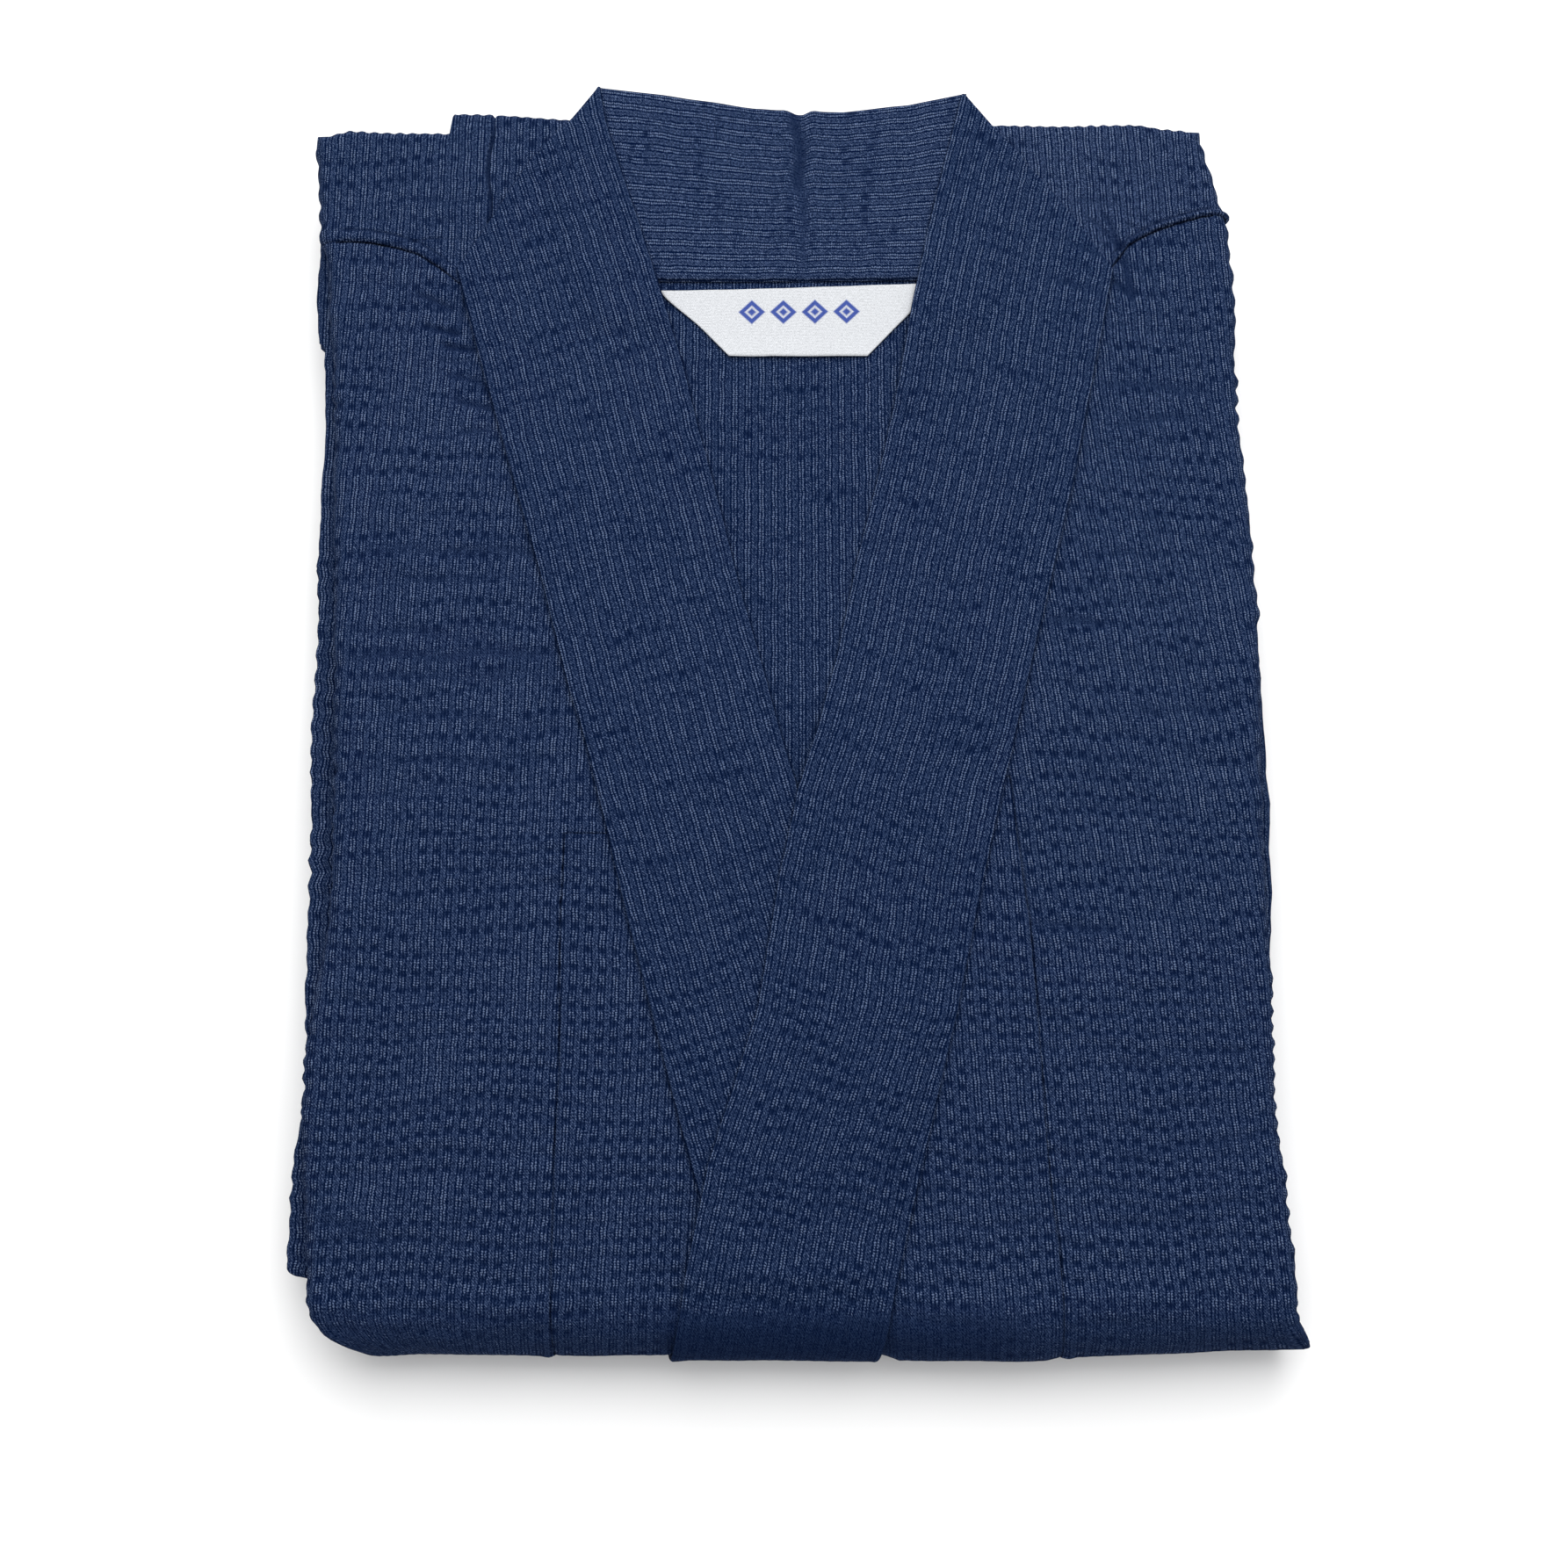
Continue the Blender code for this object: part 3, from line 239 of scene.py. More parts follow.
HALVES = {
    Side.LEFT: Half(
        -1.0, LEFT_EDGE, LOWER_LEFT_EDGE, LEFT_BAND, LEFT_SHOULDER_SEAM, LEFT_OVERLAP_SEAM,
        seam_s=183.4, corner_s=207.0, seam_out=75.0, overlap_top=-15.0, band_slope=-0.278,
    ),
    Side.RIGHT: Half(
        1.0, RIGHT_EDGE, LOWER_RIGHT_EDGE, RIGHT_BAND, RIGHT_SHOULDER_SEAM, RIGHT_OVERLAP_SEAM,
        seam_s=193.0, corner_s=210.0, seam_out=57.0, overlap_top=3.0, band_slope=0.229,
    ),
}


def ease(value: Number) -> Array:
    """Clamp to 0..1 and smooth both ends."""
    share = np.clip(value, 0.0, 1.0)
    return share * share * (3.0 - 2.0 * share)


def mix(a: Number, b: Number, share: Number) -> Array:
    """Blend two values."""
    return a + (b - a) * share


def bell(distance: Number, width: float) -> Array:
    """A soft bump, 1 in the middle."""
    return np.exp(-((distance / width) ** 2))


def column(values: Array) -> Array:
    """Values down the rows of a patch."""
    return np.asarray(values)[:, None]


def across(count: int) -> Array:
    """Even shares from 0 to 1, along a patch's columns."""
    return np.linspace(0.0, 1.0, count)[None, :]


def runs(*stops: float, longest: float) -> Array:
    """Evenly stepped values through each stop in turn.

    Args:
        stops: The values to go through.
        longest: The longest step between two values.

    Returns:
        The values, with every stop among them.
    """
    parts = []
    for start, end in zip(stops, stops[1:]):
        count = max(1, math.ceil(abs(end - start) / longest))
        parts.append(np.linspace(start, end, count + 1)[:-1])
    return np.concatenate(parts + [np.array([stops[-1]])])


def fold_profile(steps: int) -> tuple[Array, Array]:
    """The turns round a folded edge.

    Args:
        steps: How many steps half a turn takes.

    Returns:
        Angles round the fold, and how far past it the cloth runs in at each.
    """
    turn = np.append(np.linspace(0.0, math.pi, steps + 1), math.pi)
    tuck = np.zeros_like(turn)
    tuck[-1] = TUCK
    return turn, tuck


@dataclass(frozen=True)
class Parcel:
    """The folded stack that every sheet lies on."""

    height: float = 30.0
    middle: float = 15.0
    bend: float = -150.5
    hem_radius: float = 3.3
    gap: float = 0.3
    sheet: float = 1.2
    pillow_side: float = 1.3
    pillow_end: float = 0.8
    press_fold: float = 1.7
    press_cross: float = 1.6
    half_width: float = 146.0
    half_length: float = 190.0
    middle_s: float = 35.0
    corner_left: float = 19.0
    corner_right: float = -5.5
    corner_reach: float = 76.0

    @property
    def top(self) -> float:
        """Offset of a panel's outer face."""
        return self.gap + self.sheet

    @property
    def over(self) -> float:
        """Offset of the lowest face of what lies on a panel."""
        return self.top + self.gap

    @property
    def hem(self) -> float:
        """Radius of a panel's folded edge, outside."""
        return self.hem_radius + self.top

    @property
    def turned(self) -> float:
        """The s at which the bottom fold has gone half round."""
        return self.bend - math.pi * self.middle

    def bend_s(self, degrees: Number) -> Number:
        """The s of a section of the bottom fold."""
        return self.bend - np.radians(degrees) * self.middle

    def angle(self, s: Array) -> Array:
        """Turn round the bottom fold at s, in radians."""
        return np.clip((self.bend - s) / self.middle, 0.0, math.pi)

    def level(self, x: Array, s: Array) -> Array:
        """Height of the folded stack's top, unrolled.

        Args:
            x: Places across.
            s: Places along.

        Returns:
            The heights: a soft pillow, pressed down where the bands lie and cross.
        """
        run = np.maximum(s, self.bend)
        high = self.height - self.pillow_side * (x / self.half_width) ** 4
        past = np.maximum(0.0, (run - self.middle_s) / self.half_length)
        high = high - self.pillow_end * past ** 4
        high = high + 0.35 * np.sin(0.047 * x + 0.025 * run + 1.1)
        high = high + 0.30 * np.sin(0.058 * run - 0.019 * x + 0.4)
        high = high - self.press_fold * bell(x, 52.0) * ease((-95.0 - run) / 55.0)
        high = high - self.press_cross * bell(x - 4.0, 42.0) * bell(run + 55.0, 60.0)
        turn = self.angle(s)
        high = mix(high, self.height, ease(turn / math.pi))
        return high + FOLD_REACH.read("reach", x) * np.sin(turn) ** 2

    def rolled(self, x: Array, s: Array, h: Array) -> tuple[Array, Array, Array]:
        """Carry unrolled points round the bottom fold and on along the underside.

        Args:
            x: Places across.
            s: Places along.
            h: Heights.

        Returns:
            The x, y and z of the points.
        """
        angle = self.angle(s)
        radius = h - self.middle
        pull = np.sin(np.clip(angle, 0.0, math.pi)) ** 3.2 * radius / self.middle
        edge = self.half_width - self.corner_reach
        share = np.maximum(0.0, (np.abs(x) - edge) / self.corner_reach)
        share = share ** np.where(x < 0.0, 2.0, 4.0)
        corner = np.where(x < 0.0, self.corner_left, self.corner_right)
        x = x - np.sign(x) * corner * share * pull
        under = np.maximum(0.0, self.turned - s)
        y = np.where(s >= self.bend, s, self.bend - radius * np.sin(angle) + under)
        return x, y, self.middle + radius * np.cos(angle)


PARCEL = Parcel()


def frame_shift() -> tuple[float, float]:
    """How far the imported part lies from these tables, read from the label's own box."""
    low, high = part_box("neck_label")
    return low.x / MM - LABEL_LEFT, high.y / MM - LABEL_TOP


SHIFT_X, SHIFT_Y = frame_shift()


@dataclass(frozen=True)
class Crease:
    """A soft trough, or a ridge where its depth is negative, between two places."""

    x0: float
    s0: float
    x1: float
    s1: float
    depth: float
    width: float

    def drop(self, x: Array, s: Array) -> Array:
        """How far the crease lowers the cloth.

        Args:
            x: Places across.
            s: Places along.

        Returns:
            The drop there, which fades out at the crease's two ends.
        """
        run_x = self.x1 - self.x0
        run_s = self.s1 - self.s0
        length = math.hypot(run_x, run_s)
        along = ((x - self.x0) * run_x + (s - self.s0) * run_s) / length
        aside = ((x - self.x0) * run_s - (s - self.s0) * run_x) / length
        aside = aside + 0.8 * np.sin(along * 0.21 + self.depth * 9.0)
        fade = ease(along / (0.3 * length) + 0.5) * ease((length - along) / (0.3 * length) + 0.5)
        return self.depth * fade * bell(aside, self.width)


def creases(*rows: tuple[float, ...]) -> tuple[Crease, ...]:
    """Creases from rows of x0, s0, x1, s1, depth and width."""
    return tuple(Crease(*row) for row in rows)


@dataclass(frozen=True)
class Waves:
    """Uneven ripples: many small waves of seeded direction and phase."""

    seed: int
    across: float
    along: float
    terms: int = 18

    def at(self, u: Number, v: Number) -> Array:
        """Height of the ripples.

        Args:
            u: Place across the grain.
            v: Place along it.

        Returns:
            The heights, from about -1 to 1.
        """
        rng = np.random.default_rng(self.seed)
        total = np.zeros(np.broadcast(u, v).shape)
        for _ in range(self.terms):
            turn = rng.uniform(0.0, 2.0 * math.pi)
            scale = rng.uniform(0.6, 1.5)
            phase = rng.uniform(0.0, 2.0 * math.pi)
            wave_u = 2.0 * math.pi * math.cos(turn) * scale / self.across
            wave_v = 2.0 * math.pi * math.sin(turn) * scale / self.along
            total = total + np.sin(wave_u * u + wave_v * v + phase)
        return total / math.sqrt(0.5 * self.terms) / 2.0


DRIFT = Waves(3, 55.0, 75.0)
PATCHES = Waves(5, 34.0, 40.0)
RIPPLE = Waves(8, 26.0, 7.5, 26)
SWELL = Waves(11, 38.0, 17.0, 22)


@dataclass(frozen=True)
class Weave:
    """How the crinkled cloth lies on one piece: where its grain runs and how it puckers."""

    grain: Grain
    pucker: float = 0.6
    low_pucker: float = 0.9
    ripple: float = 0.10
    swell: float = 0.15
    rib: float = 0.06
    seed: float = 0.0
    creases: tuple[Crease, ...] = ()

    def rows(self, u: Number, v: Array) -> Array:
        """Count of the pucker rows at u and v; the rows wander from line to line."""
        return PUCKER_ROWS.read("rows", v) + 0.42 * DRIFT.at(u + self.seed, v)

    def strength(self, u: Array, v: Array) -> Array:
        """How strongly the cloth puckers, 0 to 1."""
        level = mix(self.low_pucker, self.pucker, ease((v + 130.0) / 220.0))
        return np.clip(level * (1.0 + 0.5 * PATCHES.at(u - self.seed, v)), 0.0, 1.0)

    def drop(self, x: Array, s: Array) -> Array:
        """How far the listed creases lower the cloth."""
        flat = np.zeros(np.broadcast(x, s).shape)
        return sum((crease.drop(x, s) for crease in self.creases), flat)

    def relief(self, x: Array, s: Array, u: Array, v: Array) -> Array:
        """Height of the cloth over its smooth form.

        Args:
            x: Places across.
            s: Places along.
            u: Grain across the weave.
            v: Grain along it.

        Returns:
            The puckers, ribs, ripples and creases together.
        """
        twin = 0.5 + 0.5 * np.cos(2.0 * math.pi * (u / PITCH - 0.5))
        knot = (0.5 + 0.5 * np.cos(2.0 * math.pi * (self.rows(u, v) - 0.5))) ** 3
        strength = self.strength(u, v)
        high = -0.18 * strength * knot * (0.35 + 0.65 * twin) - self.rib * twin
        high = high + self.ripple * strength * RIPPLE.at(u + self.seed, v)
        high = high + self.swell * SWELL.at(u - self.seed, v)
        return high - self.drop(x, s)

    def beats(self, v: Array) -> Array:
        """Small waves of a folded edge that runs along the grain."""
        beat = 0.26 * (1.0 + 0.8 * PATCHES.at(60.0, v))
        return beat * np.cos(2.0 * math.pi * self.rows(0.0, v)) + 0.22 * RIPPLE.at(0.0, v)

    def ribs(self, u: Array, v: Array) -> Array:
        """Small waves of a folded edge that crosses the twin lines."""
        return 0.20 * np.cos(2.0 * math.pi * u / PITCH) * (1.0 + 0.9 * PATCHES.at(u * 2.0, v))

    def tone(self, x: Array, s: Array, u: Array, v: Array) -> list[Array]:
        """What the finish needs to know of the cloth, and where shade is painted on it.

        Args:
            x: Places across.
            s: Places along.
            u: Grain across the weave.
            v: Grain along it.

        Returns:
            Pucker strength, how blocky the lines are, and the painted shade.
        """
        blocks = ease((-20.0 - s) / 110.0)
        blocks = blocks * np.clip(0.75 + 0.6 * PATCHES.at(u, v + 40.0), 0.0, 1.0)
        # Painted shade: round the bottom fold, deepest in a strip across its middle, and along the
        # deeper creases. The puckers also flatten round the fold.
        turned = PARCEL.angle(s)
        fold = ease((turned + 0.03) / 0.75) * (1.0 - 0.8 * ease((turned - 1.05) / 0.6))
        shade = 0.42 + 0.46 * ease((x + 37.0) / 4.0) * ease((78.0 - x) / 24.0)
        painted_shade = np.clip(np.maximum(fold * shade, 1.3 * self.drop(x, s) - 0.15), 0.0, 1.0)
        return [self.strength(u, v) * (1.0 - 0.6 * fold), blocks, painted_shade]

    def patch(self, x: Array, s: Array, h: Array, u: Array, v: Array) -> Array:
        """One rectangular run of cloth.

        Args:
            x: Places across, by row and column.
            s: Places along.
            h: Heights.
            u: Grain across the weave.
            v: Grain along it.

        Returns:
            Rows by columns by (x, s, h, u, v, pucker rows, and the three tones).
        """
        x, s, h, u, v = np.broadcast_arrays(x, s, h, u, v)
        return np.stack([x, s, h, u, v, self.rows(u, v), *self.tone(x, s, u, v)], axis=-1)

    def spread(self, x: Array, s: Array, lift: Number) -> Array:
        """A run of cloth at its grain and relief, lifted off the stack.

        Args:
            x: Places across, by row and column.
            s: Places along.
            lift: How far its smooth form lies over the stack's top.

        Returns:
            What patch gives.
        """
        u, v = self.grain(x, s)
        h = PARCEL.level(x, s) + lift + self.relief(x, s, u, v)
        return self.patch(x, s, h, u, v)


@dataclass(frozen=True)
class StraightGrain:
    """Grain that runs along the parcel."""

    lean: float = 0.0         # how far x moves for each millimetre of s
    shift: float = 0.0        # where the lines start

    def __call__(self, x: Array, s: Array) -> tuple[Array, Array]:
        """The grain at x and s."""
        return x - self.lean * s + self.shift, s


def right_grain(x: Array, s: Array) -> tuple[Array, Array]:
    """Grain of the right front, which leans out as it comes down."""
    return x - RIGHT_GRAIN.read("shift", s), s


def left_grain(x: Array, s: Array) -> tuple[Array, Array]:
    """Grain of the left front, almost straight with a slow bend."""
    return x - 0.03 * s + 1.0 * np.sin(s * 0.021 + 0.6), s


def mesh_object(name: str, mesh: bmesh.types.BMesh) -> bpy.types.Object:
    """Turn a finished bmesh into a smooth object at the origin.

    Args:
        name: The object's name.
        mesh: The bmesh, which is freed.

    Returns:
        The new object, linked to the scene.
    """
    data = bpy.data.meshes.new(name)
    mesh.to_mesh(data)
    mesh.free()
    data.shade_smooth()
    piece = bpy.data.objects.new(name, data)
    bpy.context.scene.collection.objects.link(piece)
    return piece


def upward(_place: Vector) -> Vector:
    """Straight up, for sheets that lie on the parcel."""
    return Vector((0.0, 0.0, 1.0))


def downward(_place: Vector) -> Vector:
    """Straight down, for the sheet under it."""
    return Vector((0.0, 0.0, -1.0))


def sideways(place: Vector) -> Vector:
    """Away from the parcel's middle, level with the floor."""
    return Vector((place.x, place.y, 0.0))


def cloth_mesh(
    name: str, patches: list[Array], outward: Callable[[Vector], Vector]
) -> bpy.types.Object:
    """Lay grids on the patches, join them where they meet and make them one object.

    Args:
        name: The piece's name.
        patches: What Weave.patch gave.
        outward: Rough direction away from the parcel at a point.

    Returns:
        The object, at the origin, with its place in its mesh.
    """
    mesh = bmesh.new()
    grain = mesh.verts.layers.float_vector.new("grain")
    tone = mesh.verts.layers.float_vector.new("tone")
    for run in patches:
        rows, columns = run.shape[:2]
        x, y, z = PARCEL.rolled(run[..., 0], run[..., 1], run[..., 2])
        places = np.stack([x + SHIFT_X, y + SHIFT_Y, z], axis=-1) * MM
        made = bmesh.ops.create_grid(mesh, x_segments=columns - 1, y_segments=rows - 1, size=0.5)
        for vert in made["verts"]:
            at = round((vert.co.y + 0.5) * (rows - 1)), round((vert.co.x + 0.5) * (columns - 1))
            vert.co = places[at]
            vert[grain] = run[at][3:6]
            vert[tone] = run[at][6:9]
    bmesh.ops.remove_doubles(mesh, verts=mesh.verts, dist=2e-6)
    bmesh.ops.recalc_face_normals(mesh, faces=mesh.faces)
    facing = 0.0
    for face in mesh.faces:
        facing += face.normal.dot(outward(face.calc_center_median())) * face.calc_area()
    if facing < 0.0:
        bmesh.ops.reverse_faces(mesh, faces=mesh.faces)
    return mesh_object(name, mesh)


def place(piece: bpy.types.Object, material: bpy.types.Material, slot: Slot, node: str) -> None:
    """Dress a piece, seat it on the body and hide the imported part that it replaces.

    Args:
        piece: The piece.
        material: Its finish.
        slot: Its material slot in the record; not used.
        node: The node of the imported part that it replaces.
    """
    piece.data.materials.clear()
    piece.data.materials.append(material)
    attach(piece, BODY)
    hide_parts(node)
    LOG.info("%s: %d faces", piece.name, len(piece.data.polygons))


@dataclass(frozen=True)
class Sewing:
    """What a sheet is made from: its material, slot and wall, and the node it replaces."""

    material: bpy.types.Material
    slot: Slot
    wall: float
    node: str = ""

    def piece(
        self, name: str, *patches: Array, outward: Callable[[Vector], Vector] = upward
    ) -> bpy.types.Object:
        """Make a sheet with a wall, inwards, and place it.

        Args:
            name: The piece's name.
            patches: The runs of cloth it is made of.
            outward: Rough direction away from the parcel at a point.

        Returns:
            The finished piece.
        """
        made = cloth_mesh(name, list(patches), outward)
        solidify = made.modifiers.new("wall", "SOLIDIFY")
        solidify.thickness = self.wall * MM
        solidify.offset = -1.0
        solidify.use_rim = True
        place(made, self.material, self.slot, self.node or name)
        return made


class Term:
    """A number or vector in a node tree; sums and products of it add Math nodes."""

    def __init__(self, graph: "Graph", socket: bpy.types.NodeSocket) -> None:
        """Keep the graph and the socket."""
        self.graph = graph
        self.socket = socket

    def math(self, operation: str, *others: object, clamp: bool = False) -> "Term":
        """This and the others through one Math node."""
        made = self.graph.node("ShaderNodeMath", operation=operation, use_clamp=clamp)
        return self.graph.wired(made, dict(enumerate((self, *others))))

    def __add__(self, other: object) -> "Term":
        """A sum."""
        return self.math("ADD", other)

    def __sub__(self, other: object) -> "Term":
        """A difference."""
        return self.math("SUBTRACT", other)

    def __mul__(self, other: object) -> "Term":
        """A product."""
        return self.math("MULTIPLY", other)

    def __truediv__(self, other: object) -> "Term":
        """A quotient."""
        return self.math("DIVIDE", other)

    def __abs__(self) -> "Term":
        """Its size without its sign."""
        return self.math("ABSOLUTE")

    def scaled(self, factor: object, start: object, clamp: bool = False) -> "Term":
        """This times a factor, added to a start."""
        return self.math("MULTIPLY_ADD", factor, start, clamp=clamp)

    def near(self, middle: float, width: float) -> "Term":
        """A soft bump.

        Args:
            middle: Where it is 1.
            width: How far from there it has fallen to 0.

        Returns:
            The bump, read at this.
        """
        made = self.graph.node("ShaderNodeMapRange", interpolation_type="SMOOTHSTEP")
        ends = {"Value": abs(self - middle), "From Max": width, "To Min": 1.0, "To Max": 0.0}
        return self.graph.wired(made, ends)


class Graph:
    """Adds nodes to a tree and wires them."""

    def __init__(self, tree: bpy.types.NodeTree) -> None:
        """Keep the tree."""
        self.tree = tree

    def node(self, kind: str, **settings: object) -> bpy.types.Node:
        """A new node.

        Args:
            kind: Its type.
            settings: Its properties, by name.

        Returns:
            The node.
        """
        made = self.tree.nodes.new(kind)
        for name, value in settings.items():
            setattr(made, name, value)
        return made

    def feed(self, socket: bpy.types.NodeSocket, source: object) -> None:
        """Fill a socket.

        Args:
            socket: The socket.
            source: A term or a socket to wire it to, or its value.
        """
        source = source.socket if isinstance(source, Term) else source
        if isinstance(source, bpy.types.NodeSocket):
            self.tree.links.new(source, socket)
        else:
            socket.default_value = source

    def wired(self, made: bpy.types.Node, sources: dict, output: int | str = 0) -> Term:
        """Feed a node.

        Args:
            made: The node.
            sources: What goes into its inputs, by their names or numbers.
            output: The output to give back.

        Returns:
            That output.
        """
        for name, source in sources.items():
            self.feed(made.inputs[name], source)
        return Term(self, made.outputs[output])

    def attribute(self, name: str) -> Term:
        """A vector that the mesh carries."""
        return self.wired(self.node("ShaderNodeAttribute", attribute_name=name), {}, "Vector")

    def vector(self, *parts: object) -> Term:
        """A vector from up to three numbers."""
        return self.wired(self.node("ShaderNodeCombineXYZ"), dict(enumerate(parts)))

    def split(self, vector: object) -> list[Term]:
        """Take a vector apart.

        Args:
            vector: The vector.

        Returns:
            Its three numbers.
        """
        made = self.node("ShaderNodeSeparateXYZ")
        self.feed(made.inputs[0], vector)
        return [Term(self, socket) for socket in made.outputs]

    def blend(self, factor: object, a: object, b: object, way: str = "MIX") -> Term:
        """Two colours blended."""
        made = self.node("ShaderNodeMix", data_type="RGBA", blend_type=way)
        return self.wired(made, {"Factor": factor, "A": a, "B": b}, "Result")

    def noise(self, u: Term, v: Term, scale_u: float, scale_v: float, detail: float) -> Term:
        """Soft noise, about 0.5 on average.

        Args:
            u: Grain across the weave.
            v: Grain along it.
            scale_u: How fast the noise changes across.
            scale_v: The same along.
            detail: How many finer layers it has.

        Returns:
            The noise.
        """
        place_at = self.vector(u * scale_u, v * scale_v, 0.0)
        made = self.node("ShaderNodeTexNoise")
        return self.wired(made, {"Vector": place_at, "Scale": 1.0, "Detail": detail})

    def random(self, first: object, second: object) -> Term:
        """A number from 0 to 1 for each pair of whole numbers."""
        made = self.node("ShaderNodeTexWhiteNoise", noise_dimensions="2D")
        return self.wired(made, {"Vector": self.vector(first, second, 0.0)}, "Value")

    def bump(self, height: Term) -> Term:
        """The normal of a surface with heights in millimetres."""
        made = self.node("ShaderNodeBump")
        return self.wired(made, {"Distance": MM, "Strength": 1.0, "Height": height}, "Normal")


def new_group(
    name: str, inputs: dict[str, str], outputs: dict[str, str]
) -> tuple[Graph, dict, dict]:
    """Start a shader node group.

    Args:
        name: The group's name.
        inputs: Socket kinds by name.
        outputs: The same for what it puts out.

    Returns:
        The graph, the inputs' sockets and the outputs' sockets, by name.
    """
    tree = bpy.data.node_groups.new(name, "ShaderNodeTree")
    for sockets, way in ((inputs, "INPUT"), (outputs, "OUTPUT")):
        for title, kind in sockets.items():
            tree.interface.new_socket(title, in_out=way, socket_type=kind)
    start = tree.nodes.new("NodeGroupInput")
    end = tree.nodes.new("NodeGroupOutput")
    into = {title: start.outputs[title] for title in inputs}
    out = {title: end.inputs[title] for title in outputs}
    return Graph(tree), into, out


def new_material(
    name: str, settings: dict[str, object]
) -> tuple[bpy.types.Material, Graph, bpy.types.Node]:
    """Start a material.

    Args:
        name: The material's name.
        settings: Values for the surface shader's sockets, by name.

    Returns:
        The material, its graph and its surface shader.
    """
    made = bpy.data.materials.new(name)
    made.use_nodes = True
    shader = made.node_tree.nodes["Principled BSDF"]
    for title, value in settings.items():
        shader.inputs[title].default_value = value
    return made, Graph(made.node_tree), shader


def shijira_group() -> bpy.types.NodeTree:
    """Wire the crinkled weave: twin lines of floats, dark gaps, puckers, fine twill and painted
    shade.

    Returns:
        The node group, which takes the mesh's grain and tone, and three colours.
    """
    colour, number, vector = "NodeSocketColor", "NodeSocketFloat", "NodeSocketVector"
    graph, into, out = new_group(
        "shijira_weave",
        {"Grain": vector, "Tone": vector, "Ground": colour, "Thread": colour, "Deep": colour},
        {"Color": colour, "Height": number},
    )
    straight_u, v, rows = graph.split(into["Grain"])
    # The mesh's tone carries pucker strength, blockiness and the painted shade.
    strength, blocks, painted_shade = graph.split(into["Tone"])
    wander = graph.noise(straight_u, v, 0.10, 0.13, 2.0)
    jitter = graph.noise(straight_u, v, 0.8, 1.1, 1.0)
    u = (jitter - 0.5).scaled(0.55, (wander - 0.5).scaled(1.1, straight_u))

    # The twin lines of each cell, the dark gaps beside them, and a faint line between cells.
    cell = u / PITCH
    index = cell.math("FLOOR")
    aside = (cell.math("FRACT") - 0.5) * PITCH
    side = abs(aside)
    lines = side.near(LINE_ASIDE, 0.37)
    gaps = side.near(0.0, 0.28).math("MAXIMUM", side.near(1.02, 0.40))
    faint = side.near(0.5 * PITCH, 0.45) * 0.28

    # Single floats along a line, more or less bright, and shown in clouds.
    line = index.scaled(2.0, aside.math("SIGN"))
    floats = v / FLOAT_LENGTH + graph.random(line, 3.5)
    beat = floats.math("FRACT").near(0.5, 0.38)
    luck = graph.random(line, floats.math("FLOOR"))
    dots = beat * luck.scaled(1.3, 0.35)
    shown = graph.noise(u, v, 0.42, 0.26, 3.0).scaled(4.4, -1.62, clamp=True)

    # The pinched puckers, one to a row and cell, where the cloth crinkles.
    row = graph.random(index, 0.5).scaled(0.30, rows)
    pick = graph.random(index, row.math("FLOOR"))
    along = pick.scaled(0.16, row.math("FRACT") - 0.5) * PUCKER_LENGTH
    away = ((side / 1.55).math("POWER", 2.0) + (along / 1.85).math("POWER", 2.0)).math("SQRT")
    there = graph.noise(u, v, 0.045, 0.06, 1.0).scaled(3.4, -1.95)
    there = pick.scaled(0.45, strength.scaled(1.15, there), clamp=True)
    knot = away.near(0.0, 1.10) * there

    # Slanting threads, and uneven yarn.
    slant = v.scaled(0.9, u) * (2.0 * math.pi / TWILL_WIDTH)
    twill = slant.math("SINE") * luck.scaled(0.8, 0.6)
    fleck = graph.noise(u, v, 2.2, 1.9, 2.0)
    dust = graph.noise(u, v, 0.45, 0.6, 2.0)

    # What is drawn lighter than the ground, what darker, and where both fade under the painted
    # shade.
    blocky = (abs(along).near(0.5 * PUCKER_LENGTH, 2.6) * 1.5 - 1.0).scaled(blocks, 1.0)
    clear = painted_shade.scaled(-1.9, 1.0, clamp=True)
    lift = dots * shown.scaled(1.36, 0.10) * knot.scaled(-0.92, 1.0)
    bright = lines * (lift * blocky * clear)
    dark = gaps * shown.scaled(0.25, 0.75) * beat.scaled(-0.75, 1.30)
    dark = dark.math("MAXIMUM", faint) * clear.scaled(0.7, 0.3)
    tone = fleck.scaled(2.3, -0.995)
    for part, share in ((dust, 0.50), (twill, 0.16), (dark, -0.82), (bright, 1.12)):
        tone = part.scaled(share, tone)
    # Knots darken the colour, partly as the weave's dark dashes and partly as painted shade in
    # their pinch; the painted shade then darkens all of it.
    tone = tone.scaled(knot.scaled(-0.98, 1.0), knot * 0.04) * painted_shade.scaled(-0.56, 1.0)
    low = tone.math("MULTIPLY", 2.0, clamp=True)
    base = graph.blend(low, into["Deep"], into["Ground"])
    high = tone.scaled(2.0, -1.0, clamp=True)
    graph.feed(out["Color"], graph.blend(high, base, into["Thread"]))

    height = (row * (2.0 * math.pi)).math("COSINE") * strength * 0.10
    rises = ((bright, 0.10), (gaps, -0.10), (knot, -0.22), (twill, 0.012), (fleck, 0.06))
    for part, share in rises:
        height = part.scaled(share, height)
    graph.feed(out["Height"], height)
    return graph.tree


